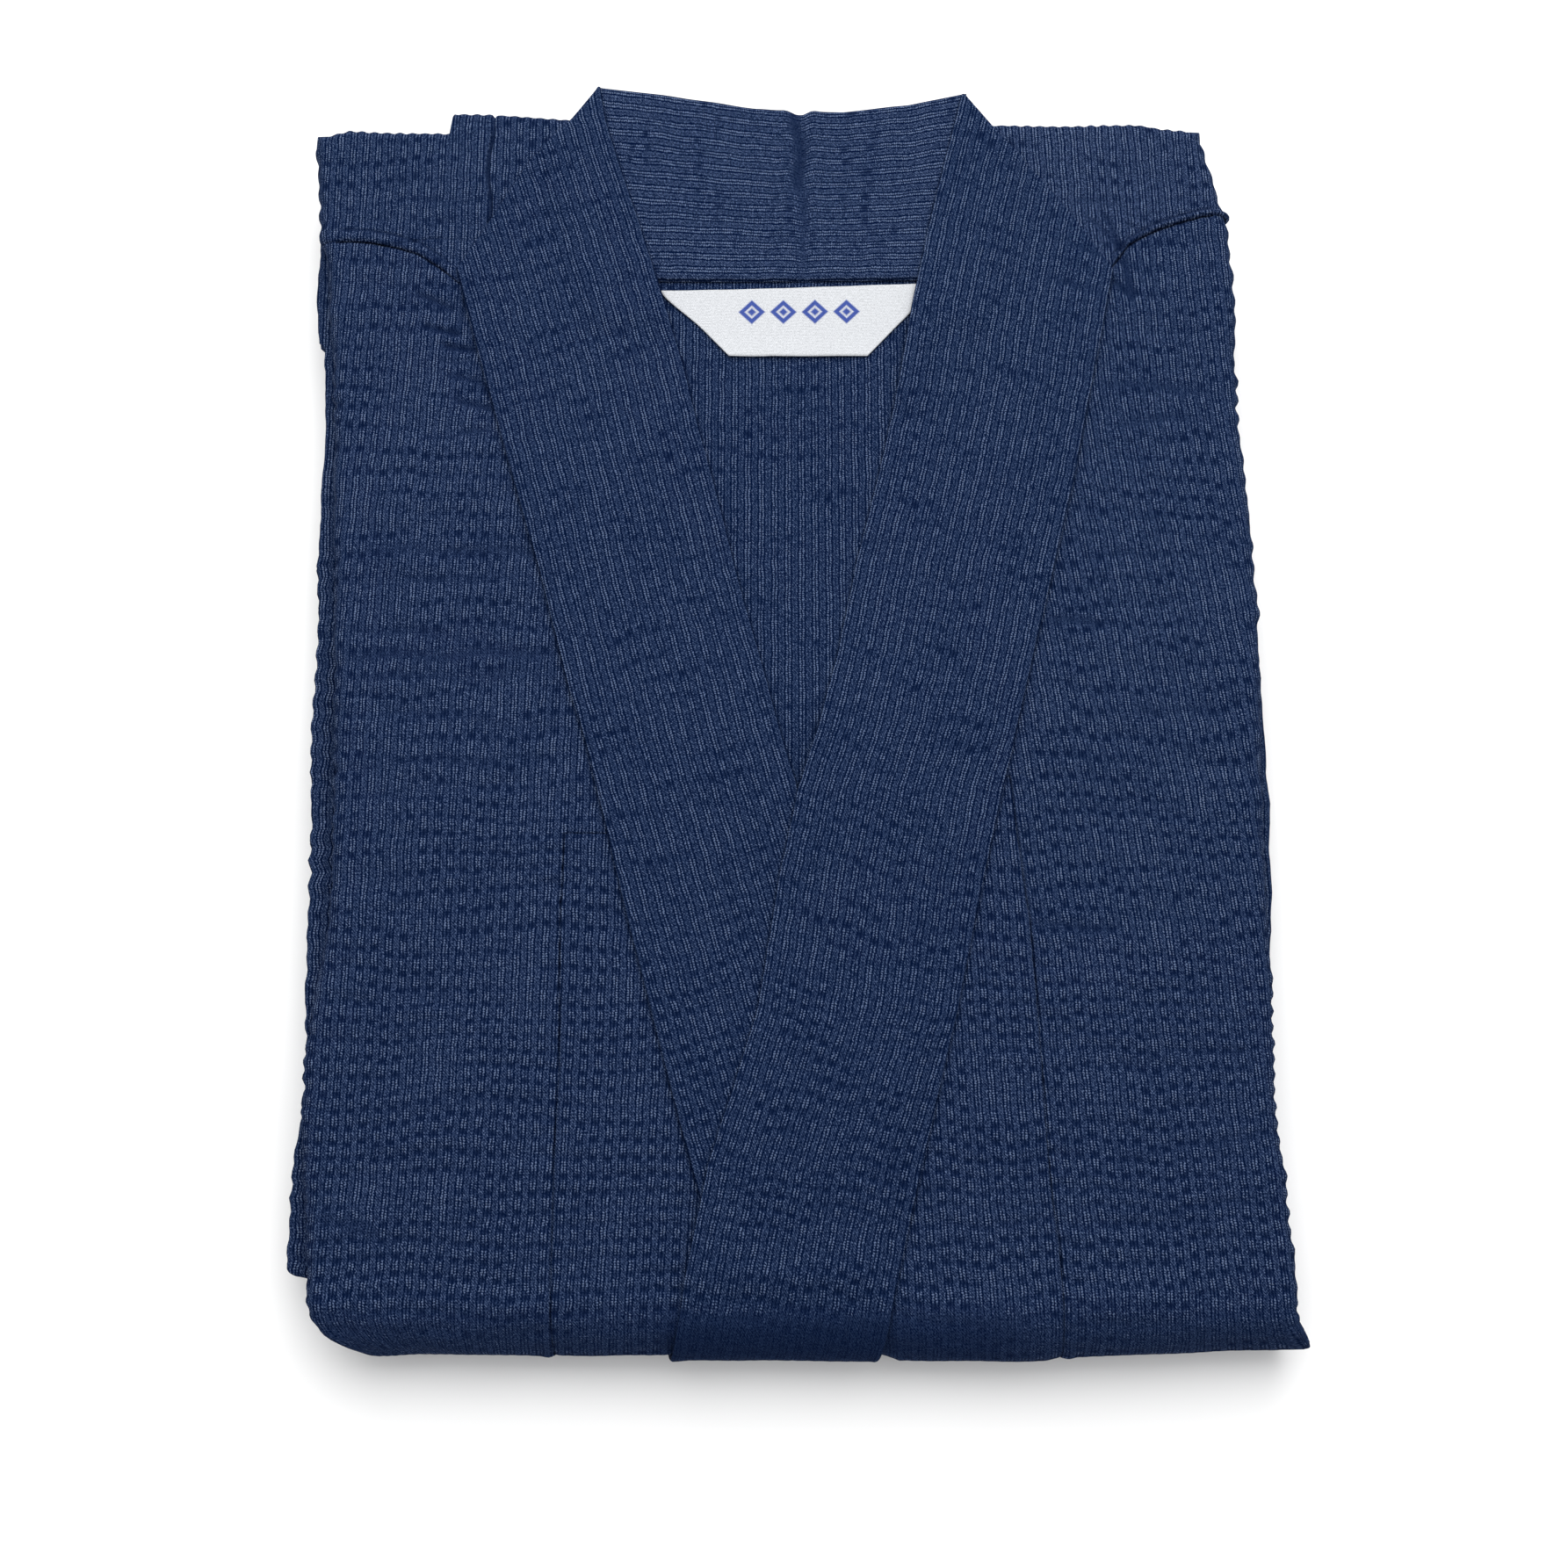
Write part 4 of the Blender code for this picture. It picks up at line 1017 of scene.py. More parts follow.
@dataclass(frozen=True)
class CottonFinish:
    """Navy crinkled cotton."""

    name: str
    ground: Colour
    thread: Colour
    deep: Colour = (0.0006, 0.0046, 0.0240, 1.0)
    roughness: float = 0.9
    specular: float = 0.01

    def material(self, group: bpy.types.NodeTree) -> bpy.types.Material:
        """Build the material around the weave's node group.

        Args:
            group: What shijira_group() made.

        Returns:
            The new material.
        """
        made, graph, shader = new_material(
            self.name, {"Roughness": self.roughness, "Specular IOR Level": self.specular}
        )
        weave = graph.node("ShaderNodeGroup", node_tree=group)
        sources = {
            "Grain": graph.attribute("grain"), "Tone": graph.attribute("tone"),
            "Ground": self.ground, "Thread": self.thread, "Deep": self.deep,
        }
        graph.feed(shader.inputs["Base Color"], graph.wired(weave, sources, "Color"))
        graph.feed(shader.inputs["Normal"], graph.bump(Term(graph, weave.outputs["Height"])))
        return made


@dataclass(frozen=True)
class LabelFinish:
    """White satin ribbon with a row of plain woven lozenges."""

    name: str = "label_weave"
    white: Colour = (0.532, 0.546, 0.570, 1.0)
    blue: Colour = (0.020, 0.050, 0.262, 1.0)
    roughness: float = 0.55
    specular: float = 0.12
    sheen: float = 0.05
    row_x: float = 4.9        # the row's middle
    row_s: float = 157.6
    spacing: float = 10.2     # between two lozenges
    pick_width: float = 0.45  # of the ribbon's threads
    warp_width: float = 0.6

    def material(self) -> bpy.types.Material:
        """Build the material; its grain is the label's own millimetres.

        Returns:
            The new material.
        """
        made, graph, shader = new_material(self.name, {
            "Roughness": self.roughness, "Specular IOR Level": self.specular,
            "Sheen Weight": self.sheen,
        })
        u, v, _ = graph.split(graph.attribute("grain"))
        picks = (v * (2.0 * math.pi / self.pick_width)).math("SINE")
        warp = (v.scaled(0.5, u) * (2.0 * math.pi / self.warp_width)).math("SINE")
        place_u = (u - self.row_x) / self.spacing
        step = abs(place_u.math("FRACT") - 0.5) * self.spacing
        far = step + abs(v - self.row_s)
        ring = (far.near(3.3, 1.5) + far.near(0.0, 2.2)).math("MULTIPLY", 1.8, clamp=True)
        ring = ring * abs(place_u).math("LESS_THAN", 2.0)
        fibre = graph.noise(u, v, 0.5, 2.5, 2.0).scaled(0.34, 0.40)
        tone = graph.noise(u, v, 1.9, 2.3, 2.0).scaled(0.80, fibre)
        tone = warp.scaled(0.06, picks.scaled(0.10, tone))
        base = graph.blend(ring * 0.97, self.white, self.blue)
        shaded = graph.blend(1.0, base, graph.vector(tone, tone, tone), "MULTIPLY")
        graph.feed(shader.inputs["Base Color"], shaded)
        height = ring.scaled(0.05, (picks + warp) * 0.02)
        graph.feed(shader.inputs["Normal"], graph.bump(height))
        return made


def wardrobe() -> dict[str, Sewing]:
    """Build every finish.

    Returns:
        How each kind of piece is made from them: its material, slot, wall and node.
    """
    weave = shijira_group()
    thread = (0.112, 0.153, 0.255, 1.0)
    plain = (0.0166, 0.0312, 0.0765, 1.0)
    fine = (0.103, 0.143, 0.243, 1.0)
    ground = (0.0205, 0.0364, 0.0860, 1.0)
    # A lighter copy of the ground, as painted light on the collar and the right shoulder at the lit
    # collar end.
    pale = (0.0270, 0.0445, 0.0990, 1.0)
    cotton = CottonFinish("crinkle_cotton", ground, thread).material(weave)
    inner = CottonFinish("crinkle_cotton_inner", plain, fine).material(weave)
    band = CottonFinish("band_cotton", plain, fine).material(weave)
    collar = CottonFinish("collar_cotton", pale, thread).material(weave)
    return {
        "panel": Sewing(cotton, Slot.COTTON, 0.9),
        "right_shoulder": Sewing(collar, Slot.COTTON, 0.9),
        "band": Sewing(band, Slot.COLLAR, 0.8),
        "back": Sewing(inner, Slot.INNER, 0.9),
        "collar": Sewing(collar, Slot.COLLAR, 0.7),
        "label": Sewing(LabelFinish().material(), Slot.LABEL, 0.35),
        "rim": Sewing(cotton, Slot.COTTON, 0.5, "folded_layers"),
        "underside": Sewing(cotton, Slot.COTTON, 0.6, "folded_layers"),
    }


@dataclass
class SidePiece:
    """A piece that the parcel has on its left and on its right."""

    side: Side
    weave: Weave

    @property
    def left(self) -> bool:
        """Whether this is the left one."""
        return self.side is Side.LEFT

    @property
    def half(self) -> Half:
        """This side's tables and sizes."""
        return HALVES[self.side]

    @property
    def sign(self) -> float:
        """The sign of x on this side."""
        return self.half.sign

    def named(self, what: str) -> str:
        """The name of the piece on this side."""
        return f"{self.side.name.lower()}_{what}"


@dataclass
class FrontPanel(SidePiece):
    """A front body panel, from the shoulder seam down and round the bottom fold."""

    cell: float = 1.1
    seam_fade: float = 45.0       # the rows follow the shoulder seam over this length
    seam_sink: float = 0.5        # how far the row under that seam is pushed in
    hem_steps: int = 12
    strip_columns: int = 19
    squareness: float = 0.65      # how square the side is where it goes round the fold
    flatness: float = 0.45        # how much thinner it is there

    def edge(self, s: Array) -> Array:
        """Where the side fold's axis runs.

        Args:
            s: Places along.

        Returns:
            The x there.
        """
        run = np.maximum(s, PARCEL.bend)
        ridge = sum(self.half.edge.read("ridge", run + step) for step in (-4.0, 0.0, 4.0))
        top = ridge / 3.0 - self.sign * PARCEL.hem
        low = self.half.lower_edge.read("ridge", PARCEL.bend) - self.sign * PARCEL.hem
        return mix(top, low, ease(PARCEL.angle(s) / math.pi))

    def lapped(self, s: Array) -> Array:
        """Where the panel's edge lies under the collar band."""
        return self.half.band.read("outer", np.minimum(s, BAND_CORNER)) - self.sign * LAP

    def sewn(self, s: Array) -> Array:
        """The overlap's seam, run on up the panel."""
        return self.half.overlap_seam.read("x", s)

    def seam(self, x: Array, s: Array) -> Array:
        """The s of the panel's rows, which follow the shoulder seam near it."""
        share = 1.0 - ease(np.abs(s - self.half.seam_s) / self.seam_fade)
        return s + (self.half.shoulder_seam.read("s", x) - self.half.seam_s) * share

    def build(self, sewing: Sewing) -> bpy.types.Object:
        """Make the panel.

        Args:
            sewing: What it is made from.

        Returns:
            The finished piece.
        """
        half = self.half
        rows = runs(
            half.seam_s, half.seam_out, half.overlap_top, PARCEL.bend, PARCEL.bend_s(PANEL_END),
            longest=self.cell,
        )
        s = column(rows)
        inner = self.sign * np.maximum(self.sign * self.lapped(s), self.sign * self.sewn(s))
        count = math.ceil(np.max(np.abs(self.edge(s) - inner)) / self.cell)
        main_run = self.flat(inner, self.edge(s), across(count + 1), s)
        main_run[0, :, 2] -= self.seam_sink
        spare = 1e-6
        strip = rows[(rows <= half.seam_out + spare) & (rows >= half.overlap_top - spare)]
        strip = column(strip)
        share = across(self.strip_columns)
        strip_run = self.flat(self.sewn(strip), self.lapped(strip), share, strip)
        return sewing.piece(self.named("front"), main_run, self.folded(s), strip_run)

    def flat(self, start: Array, end: Array, share: Array, s: Array) -> Array:
        """The part that lies on top of the parcel.

        Args:
            start: x of its inner edge.
            end: x of its outer edge.
            share: Where each column lies between them.
            s: Places along.

        Returns:
            The run of cloth.
        """
        x = mix(start, end, share)
        along = self.seam(x, s)
        run = self.weave.spread(x, along, PARCEL.top)
        run[..., 2] += self.seam_step(x, along)
        return run

    def seam_step(self, x: Array, s: Array) -> Array:
        """The soft groove and ridge along the overlap's seam.

        Args:
            x: Places across.
            s: Places along.

        Returns:
            The heights, which are 0 above the overlap.
        """
        away = self.sign * (x - self.sewn(s))
        below = ease((self.half.overlap_top + 4.0 - s) / 4.0)
        lump = 0.20 * np.sin(s * 0.9 + 2.0 * np.sin(s * 0.13)) * bell(away - 3.0, 3.0)
        return below * (lump + 0.35 * bell(away - 1.8, 1.8) - 0.30 * bell(away, 0.8))

    def folded(self, s: Array) -> Array:
        """The part that turns under along the side.

        Args:
            s: Places along.

        Returns:
            The run of cloth, which grows square and thin round the bottom fold.
        """
        turn, tuck = fold_profile(self.hem_steps)
        axis = self.edge(s)
        x0, along, turn = np.broadcast_arrays(axis, self.seam(axis, s), turn[None, :])
        u0, v = self.weave.grain(x0, along)
        u = u0 + self.sign * PARCEL.hem * turn
        relief = self.weave.relief(x0, along, u, v)
        radius = PARCEL.hem + relief + self.weave.beats(along) * np.sin(turn) ** 2
        square = 1.0 - self.squareness * ease((PARCEL.angle(along) - 0.15) / 0.9)
        thin = self.flatness * (1.0 - square) / self.squareness
        x = x0 + self.sign * (radius * np.abs(np.sin(turn)) ** square - tuck)
        fall = 1.0 - np.sign(np.cos(turn)) * np.abs(np.cos(turn)) ** square
        deep = (PARCEL.hem + relief) * fall * (1.0 - thin)
        h = PARCEL.level(x0, along) + PARCEL.top + relief - deep
        return self.weave.patch(x, along, h, u, v)


@dataclass
class OverlapPanel(SidePiece):
    """The narrow overlap between a front panel and the collar band."""

    cell: float = 1.4

    def build(self, sewing: Sewing) -> bpy.types.Object:
        """Make the panel.

        Args:
            sewing: What it is made from.

        Returns:
            The finished piece.
        """
        top = self.half.overlap_top
        s = column(runs(top, PARCEL.bend, PARCEL.bend_s(PANEL_END), longest=self.cell))
        near = self.half.overlap_seam.read("x", s)
        far = self.half.band.read("outer", s)
        if self.left:
            far = np.minimum(far, RIGHT_BAND.read("inner", s))
        far = far - self.sign * LAP
        x = mix(near, far, across(math.ceil(np.max(np.abs(far - near)) / self.cell) + 1))
        run = self.weave.spread(x, s, PARCEL.top)
        run[..., 2] -= 0.30 * bell(x - near, 0.9)
        run[..., 2] -= 0.10 * bell(top - s, 1.0)
        return sewing.piece(self.named("overlap"), run)


@dataclass
class Shoulder(SidePiece):
    """The back's cloth where it comes over a shoulder, down to its lapped seam."""

    cell: float = 0.45
    ridge: float = 0.9            # height of the lapped seam
    ridge_width: float = 1.9
    ridge_from: float = 5.0       # it starts this far inside the folded edge
    fine_share: float = 0.34      # rows are closer up to here
    band_end: float = 222.0       # the cloth leaves the band's edge at this s
    hem_steps: int = 10

    def build(self, sewing: Sewing) -> bpy.types.Object:
        """Make the panel.

        Args:
            sewing: What it is made from.

        Returns:
            The finished piece: its face, two folded edges and the corner between them.
        """
        half = self.half
        corner_x = half.edge.read("ridge", half.corner_s) - self.sign * PARCEL.hem
        end_s = COLLAR_END.read("s", corner_x) - PARCEL.hem
        fine = runs(0.0, self.fine_share, longest=0.010)[:-1]
        share = column(np.concatenate([fine, runs(self.fine_share, 1.0, longest=0.020)]))
        level_s = mix(half.seam_s, end_s, share)
        inner = half.band.read("outer", np.clip(level_s, BAND_CORNER, self.band_end))
        inner = inner - self.sign * LAP
        axis = half.edge.read("ridge", level_s) - self.sign * PARCEL.hem
        x = mix(inner, axis, across(math.ceil(np.max(np.abs(axis - inner)) / self.cell) + 1))
        seam = half.shoulder_seam.read("s", x)
        s = mix(seam, COLLAR_END.read("s", x) - PARCEL.hem, share)
        turn, tuck = fold_profile(self.hem_steps)
        level, upright = (turn[None, :], tuck[None, :]), (column(turn), column(tuck))
        points = np.stack([x, s, s - seam])
        return sewing.piece(
            self.named("shoulder"),
            self.laid(*points),
            self.hem(points[:, :, -1:], *level, 0.0),
            self.hem(points[:, -1:, :], *upright, 90.0),
            self.hem(points[:, -1:, -1:], *level, column(np.linspace(0.0, 90.0, 9))),
        )

    def stitched(self, x: Array, s: Array, rise: Array) -> tuple[Array, Array]:
        """Where the lapped seam shows.

        Args:
            x: Places across.
            s: Places along.
            rise: Distance from the lapped seam.

        Returns:
            The share of the lap's ridge that shows, and the share of its second line.
        """
        clear = self.sign * (x - self.half.band.read("outer", s)) - 1.0
        inside = self.sign * (self.half.edge.read("ridge", s) - x)
        shown = ease(clear / 5.0) * ease((inside - self.ridge_from) / 4.0)
        short = bell(rise - 5.2 + 0.30 * clear, 0.7) * (1.0 - ease((clear - 9.0) / 6.0))
        line = bell(rise - 2.25 * self.ridge_width, 0.50)
        return shown, np.maximum(line, short) * shown

    def height(self, x: Array, s: Array, rise: Array, u: Array, v: Array) -> Array:
        """Offset of the cloth's face over the parcel's top.

        Args:
            x: Places across.
            s: Places along.
            rise: Distance from the lapped seam.
            u: Grain across the weave.
            v: Grain along it.

        Returns:
            The offset: the seam's ridge and second line, its rolled edge, and the relief.
        """
        shown, line = self.stitched(x, s, rise)
        lift = self.ridge * bell(rise - 0.9 * self.ridge_width, self.ridge_width) * shown
        roll = -0.6 * bell(rise, 0.4)
        return PARCEL.top + lift - 0.60 * line + roll + self.weave.relief(x, s, u, v)

    def laid(self, x: Array, s: Array, rise: Array) -> Array:
        """The part that lies on top.

        Args:
            x: Places across.
            s: Places along.
            rise: Distance from the lapped seam.

        Returns:
            The run of cloth, with painted shade in the seam's second line.
        """
        u, v = self.weave.grain(x, s)
        h = PARCEL.level(x, s) + self.height(x, s, rise, u, v)
        run = self.weave.patch(x, s, h, u, v)
        # Painted shade in the groove of the seam's second line.
        run[..., 8] = np.maximum(run[..., 8], 0.85 * self.stitched(x, s, rise)[1])
        return run

    def hem(self, axis: Array, turn: Array, tuck: Array, way: Number) -> Array:
        """The cloth's folded edge.

        Args:
            axis: Where the fold's axis lies: x, s and distance from the lapped seam.
            turn: Angle round the fold.
            tuck: How far past the fold the cloth runs in.
            way: Degrees from the side, 0, to the collar end, 90.

        Returns:
            The run of cloth.
        """
        x0, s0, rise, turn, tuck, way = np.broadcast_arrays(*axis, turn, tuck, np.radians(way))
        u, v = self.weave.grain(x0, s0)
        radius = PARCEL.hem_radius + self.height(x0, s0, rise, u, v)
        wave = mix(self.weave.beats(s0), self.weave.ribs(u, s0), np.sin(way))
        radius = radius + wave * np.sin(turn) ** 2
        square = np.maximum(np.abs(np.cos(way)), np.abs(np.sin(way))) ** -0.9
        out = (radius * np.sin(turn)) * square - tuck
        x = x0 + self.sign * np.cos(way) * out
        s = s0 + np.sin(way) * out
        h = PARCEL.level(x0, s0) - PARCEL.hem_radius + radius * np.cos(turn)
        u = u + self.sign * np.cos(way) * PARCEL.hem * turn
        v = v + np.sin(way) * PARCEL.hem * turn
        return self.weave.patch(x, s, h, u, v)


@dataclass(frozen=True)
class Lifts:
    """How far what lies on a panel is carried over the pieces under it."""

    keep: float = 12.0            # the lift is kept this far past an edge
    run: float = 10.0             # and falls away over this length
    collar: float = 1.2
    label: float = 1.0
    band: float = 2.0
    band_clear: float = 23.0      # the left band stays this far inside the right one over it
    band_end: float = -132.0      # s at which the left band ends under the right one

    def carried(self, distance: Array, height: Number) -> Array:
        """Height kept over an edge, falling away past it."""
        return height * (1.0 - ease((distance - self.keep) / self.run))

    def over_collar(self, x: Array, s: Array) -> Array:
        """Lift over the back collar.

        Args:
            x: Places across.
            s: Places along.

        Returns:
            The lift there.
        """
        left = LEFT_BAND.read("inner", s) - BACK_LAP
        right = RIGHT_BAND.read("inner", s) + BACK_LAP
        away = np.maximum(np.maximum(left - x, x - right), COLLAR_SEAM - s)
        return self.carried(away, self.collar + PARCEL.gap)

    def over_label(self, x: Array, s: Array) -> Array:
        """Lift over the label.

        Args:
            x: Places across.
            s: Places along.

        Returns:
            The lift there.
        """
        sides = np.maximum(LABEL_SIDES.read("left", s) - x, x - LABEL_SIDES.read("right", s))
        away = np.maximum(sides, np.maximum(LABEL_BOTTOM - s, s - LABEL_TOP))
        return self.carried(away, self.label + PARCEL.gap)

    def left_inner(self, s: Array) -> Array:
        """The left band's inner edge, kept inside the right band where that covers it."""
        covered = RIGHT_BAND.read("outer", s) - self.band_clear
        return np.minimum(LEFT_BAND.read("inner", s), covered)

    def left(self, x: Array, s: Array) -> Array:
        """Offset of the left band's lower face."""
        return PARCEL.over + self.over_collar(x, s)

    def right(self, x: Array, s: Array) -> Array:
        """Offset of the right band's lower face.

        Args:
            x: Places across.
            s: Places along.

        Returns:
            The offset, which carries it over the collar, the label and the left band.
        """
        outer = LEFT_BAND.read("outer", s)
        away = np.maximum(np.maximum(outer - x, x - self.left_inner(s)), self.band_end - s)
        band = self.carried(away, self.over_collar(x, s) + self.band + PARCEL.gap)
        rest = np.maximum(self.over_collar(x, s), self.over_label(x, s))
        return PARCEL.over + np.maximum(rest, band)


LIFTS = Lifts()


@dataclass
class CollarBand(SidePiece):
    """One crossed front band of the collar, a long folded strip with round edges."""

    top: float
    end: float
    thick: float = LIFTS.band
    cell: float = 1.3
    columns: int = 38
    edge_steps: int = 8

    def rows(self) -> Array:
        """Where the band's rows lie.

        Returns:
            Their s, the right band's running on round the bottom fold.
        """
        rows = runs(self.top, BAND_CORNER, PARCEL.bend, longest=self.cell)
        if self.left:
            return rows[rows > self.end]
        return np.concatenate([rows, runs(PARCEL.bend - 1.0, self.end, longest=self.cell)])

    def build(self, sewing: Sewing) -> bpy.types.Object:
        """Make the band.

        Args:
            sewing: What it is made from.

        Returns:
            The finished piece.
        """
        s = column(self.rows())
        near = self.half.band.read("outer", s)
        far = LIFTS.left_inner(s) if self.left else self.half.band.read("inner", s)
        width = np.abs(far - near)
        round_edge = np.minimum(0.5 * self.thick, 0.42 * width)
        turn = np.linspace(-math.pi / 2.0, math.pi / 2.0, self.edge_steps)
        edge_x = round_edge * (1.0 - np.cos(turn))[None, :]
        middle = round_edge + (width - 2.0 * round_edge) * across(self.columns)[:, 1:-1]
        reach = np.concatenate([edge_x, middle, width - edge_x[:, ::-1]], axis=1)
        rim = np.sin(turn)
        up = np.concatenate([rim, np.ones(self.columns - 2), rim[::-1]])[None, :]
        x = near + np.sign(far - near) * reach
        u, v = self.grain(x, s)
        base = (LIFTS.left if self.left else LIFTS.right)(x, s)
        relief = self.weave.relief(x, s, u, v) * ease((up + 1.0) / 2.0)
        h = PARCEL.level(x, s) + base + 0.5 * self.thick * (1.0 + up) + relief
        return sewing.piece(self.named("band"), self.weave.patch(x, s, h, u, v))

    def grain(self, x: Array, s: Array) -> tuple[Array, Array]:
        """The grain, which runs along the band's inner edge.

        Args:
            x: Places across.
            s: Places along.

        Returns:
            The grain across the weave and along it.
        """
        slope = self.half.band_slope
        lean = 1.0 / math.hypot(1.0, slope)
        away = x - self.half.band.read("inner", s)
        return away * lean + 1.2, (s + slope * away * lean) / lean


@dataclass
class BackOfNeck:
    """The back body, the collar behind the neck and the label, inside the opening."""

    body_weave: Weave
    collar_weave: Weave
    cell: float = 1.4
    opening_top: float = 200.0
    opening_bottom: float = -10.0
    corner_clear: float = 14.0    # the back stays this far inside the bands' outer corners
    collar_top: float = 236.0     # s at which the collar's width is read at its free edge
    collar_flare: float = 7.2     # how much narrower it is there
    roll: float = 1.2             # how far its free edge rolls over

    def body(self, sewing: Sewing) -> bpy.types.Object:
        """The back body seen through the opening.

        Args:
            sewing: What it is made from.

        Returns:
            The finished piece.
        """
        s = column(runs(self.opening_top, self.opening_bottom, longest=self.cell))
        corner = np.maximum(s, BAND_CORNER)
        left = np.maximum(
            LEFT_BAND.read("inner", s) - BACK_LAP,
            LEFT_BAND.read("outer", corner) + self.corner_clear,
        )
        right = np.minimum(
            RIGHT_BAND.read("inner", s) + BACK_LAP,
            RIGHT_BAND.read("outer", corner) - self.corner_clear,
        )
        x = mix(left, right, across(84))
        return sewing.piece("back_body", self.body_weave.spread(x, s, PARCEL.top))

    def collar(self, sewing: Sewing) -> bpy.types.Object:
        """The collar, its sewn edge at the label and its free edge rolled over.

        Args:
            sewing: What it is made from.

        Returns:
            The finished piece.
        """
        share = column(runs(0.0, 1.0, longest=0.024))
        width_s = mix(COLLAR_SEAM, self.collar_top, share)
        narrow = BACK_LAP - self.collar_flare * share ** 3
        left = LEFT_BAND.read("inner", width_s) - narrow
        x = mix(left, RIGHT_BAND.read("inner", width_s) + narrow, across(96))
        free = COLLAR_FREE_EDGE.read("s", x)
        s = mix(COLLAR_SEAM, free - 0.4, share)
        h = PARCEL.level(x, s) + PARCEL.over + LIFTS.collar
        h = h + 0.5 * bell(np.abs(x - 5.0) - 4.4, 2.0) * ease(share * 2.5)
        h = h - 0.7 * bell(s - COLLAR_SEAM, 0.7)
        u = s - (free - 228.0) * share
        h = h + self.collar_weave.relief(x, s, u, x)
        turn = column(np.linspace(0.0, math.pi, 7))
        rolled = self.collar_weave.patch(
            x[-1:, :], s[-1:, :] + self.roll * np.sin(turn), h[-1:, :] - (1.0 - np.cos(turn)),
            u[-1:, :] + self.roll * turn, x[-1:, :],
        )
        return sewing.piece("back_collar", self.collar_weave.patch(x, s, h, u, x), rolled)

    def label(self, sewing: Sewing) -> bpy.types.Object:
        """The label: a ribbon with slanted ends, a little proud of the back.

        Args:
            sewing: What it is made from.

        Returns:
            The finished piece.
        """
        s = column(runs(LABEL_TOP + 0.3, LABEL_BOTTOM, longest=0.9))
        share = across(90)
        x = mix(LABEL_SIDES.read("left", s), LABEL_SIDES.read("right", s), share)
        low = ease((150.0 - s) / 9.0)
        s = s + ease((s - 150.0) / 16.0) * (0.0265 * (x - 5.4) - 1.3)
        lift = 0.55 * low + 0.25 * bell(share, 0.08) + 0.35 * bell(share - 0.32, 0.05) * low
        lift = lift + 0.12 * np.sin(x * 0.35 + s * 0.1)
        h = PARCEL.level(x, s) + PARCEL.over + 0.45 + lift * 0.7
        return sewing.piece("neck_label", self.body_weave.patch(x, s, h, x, s))


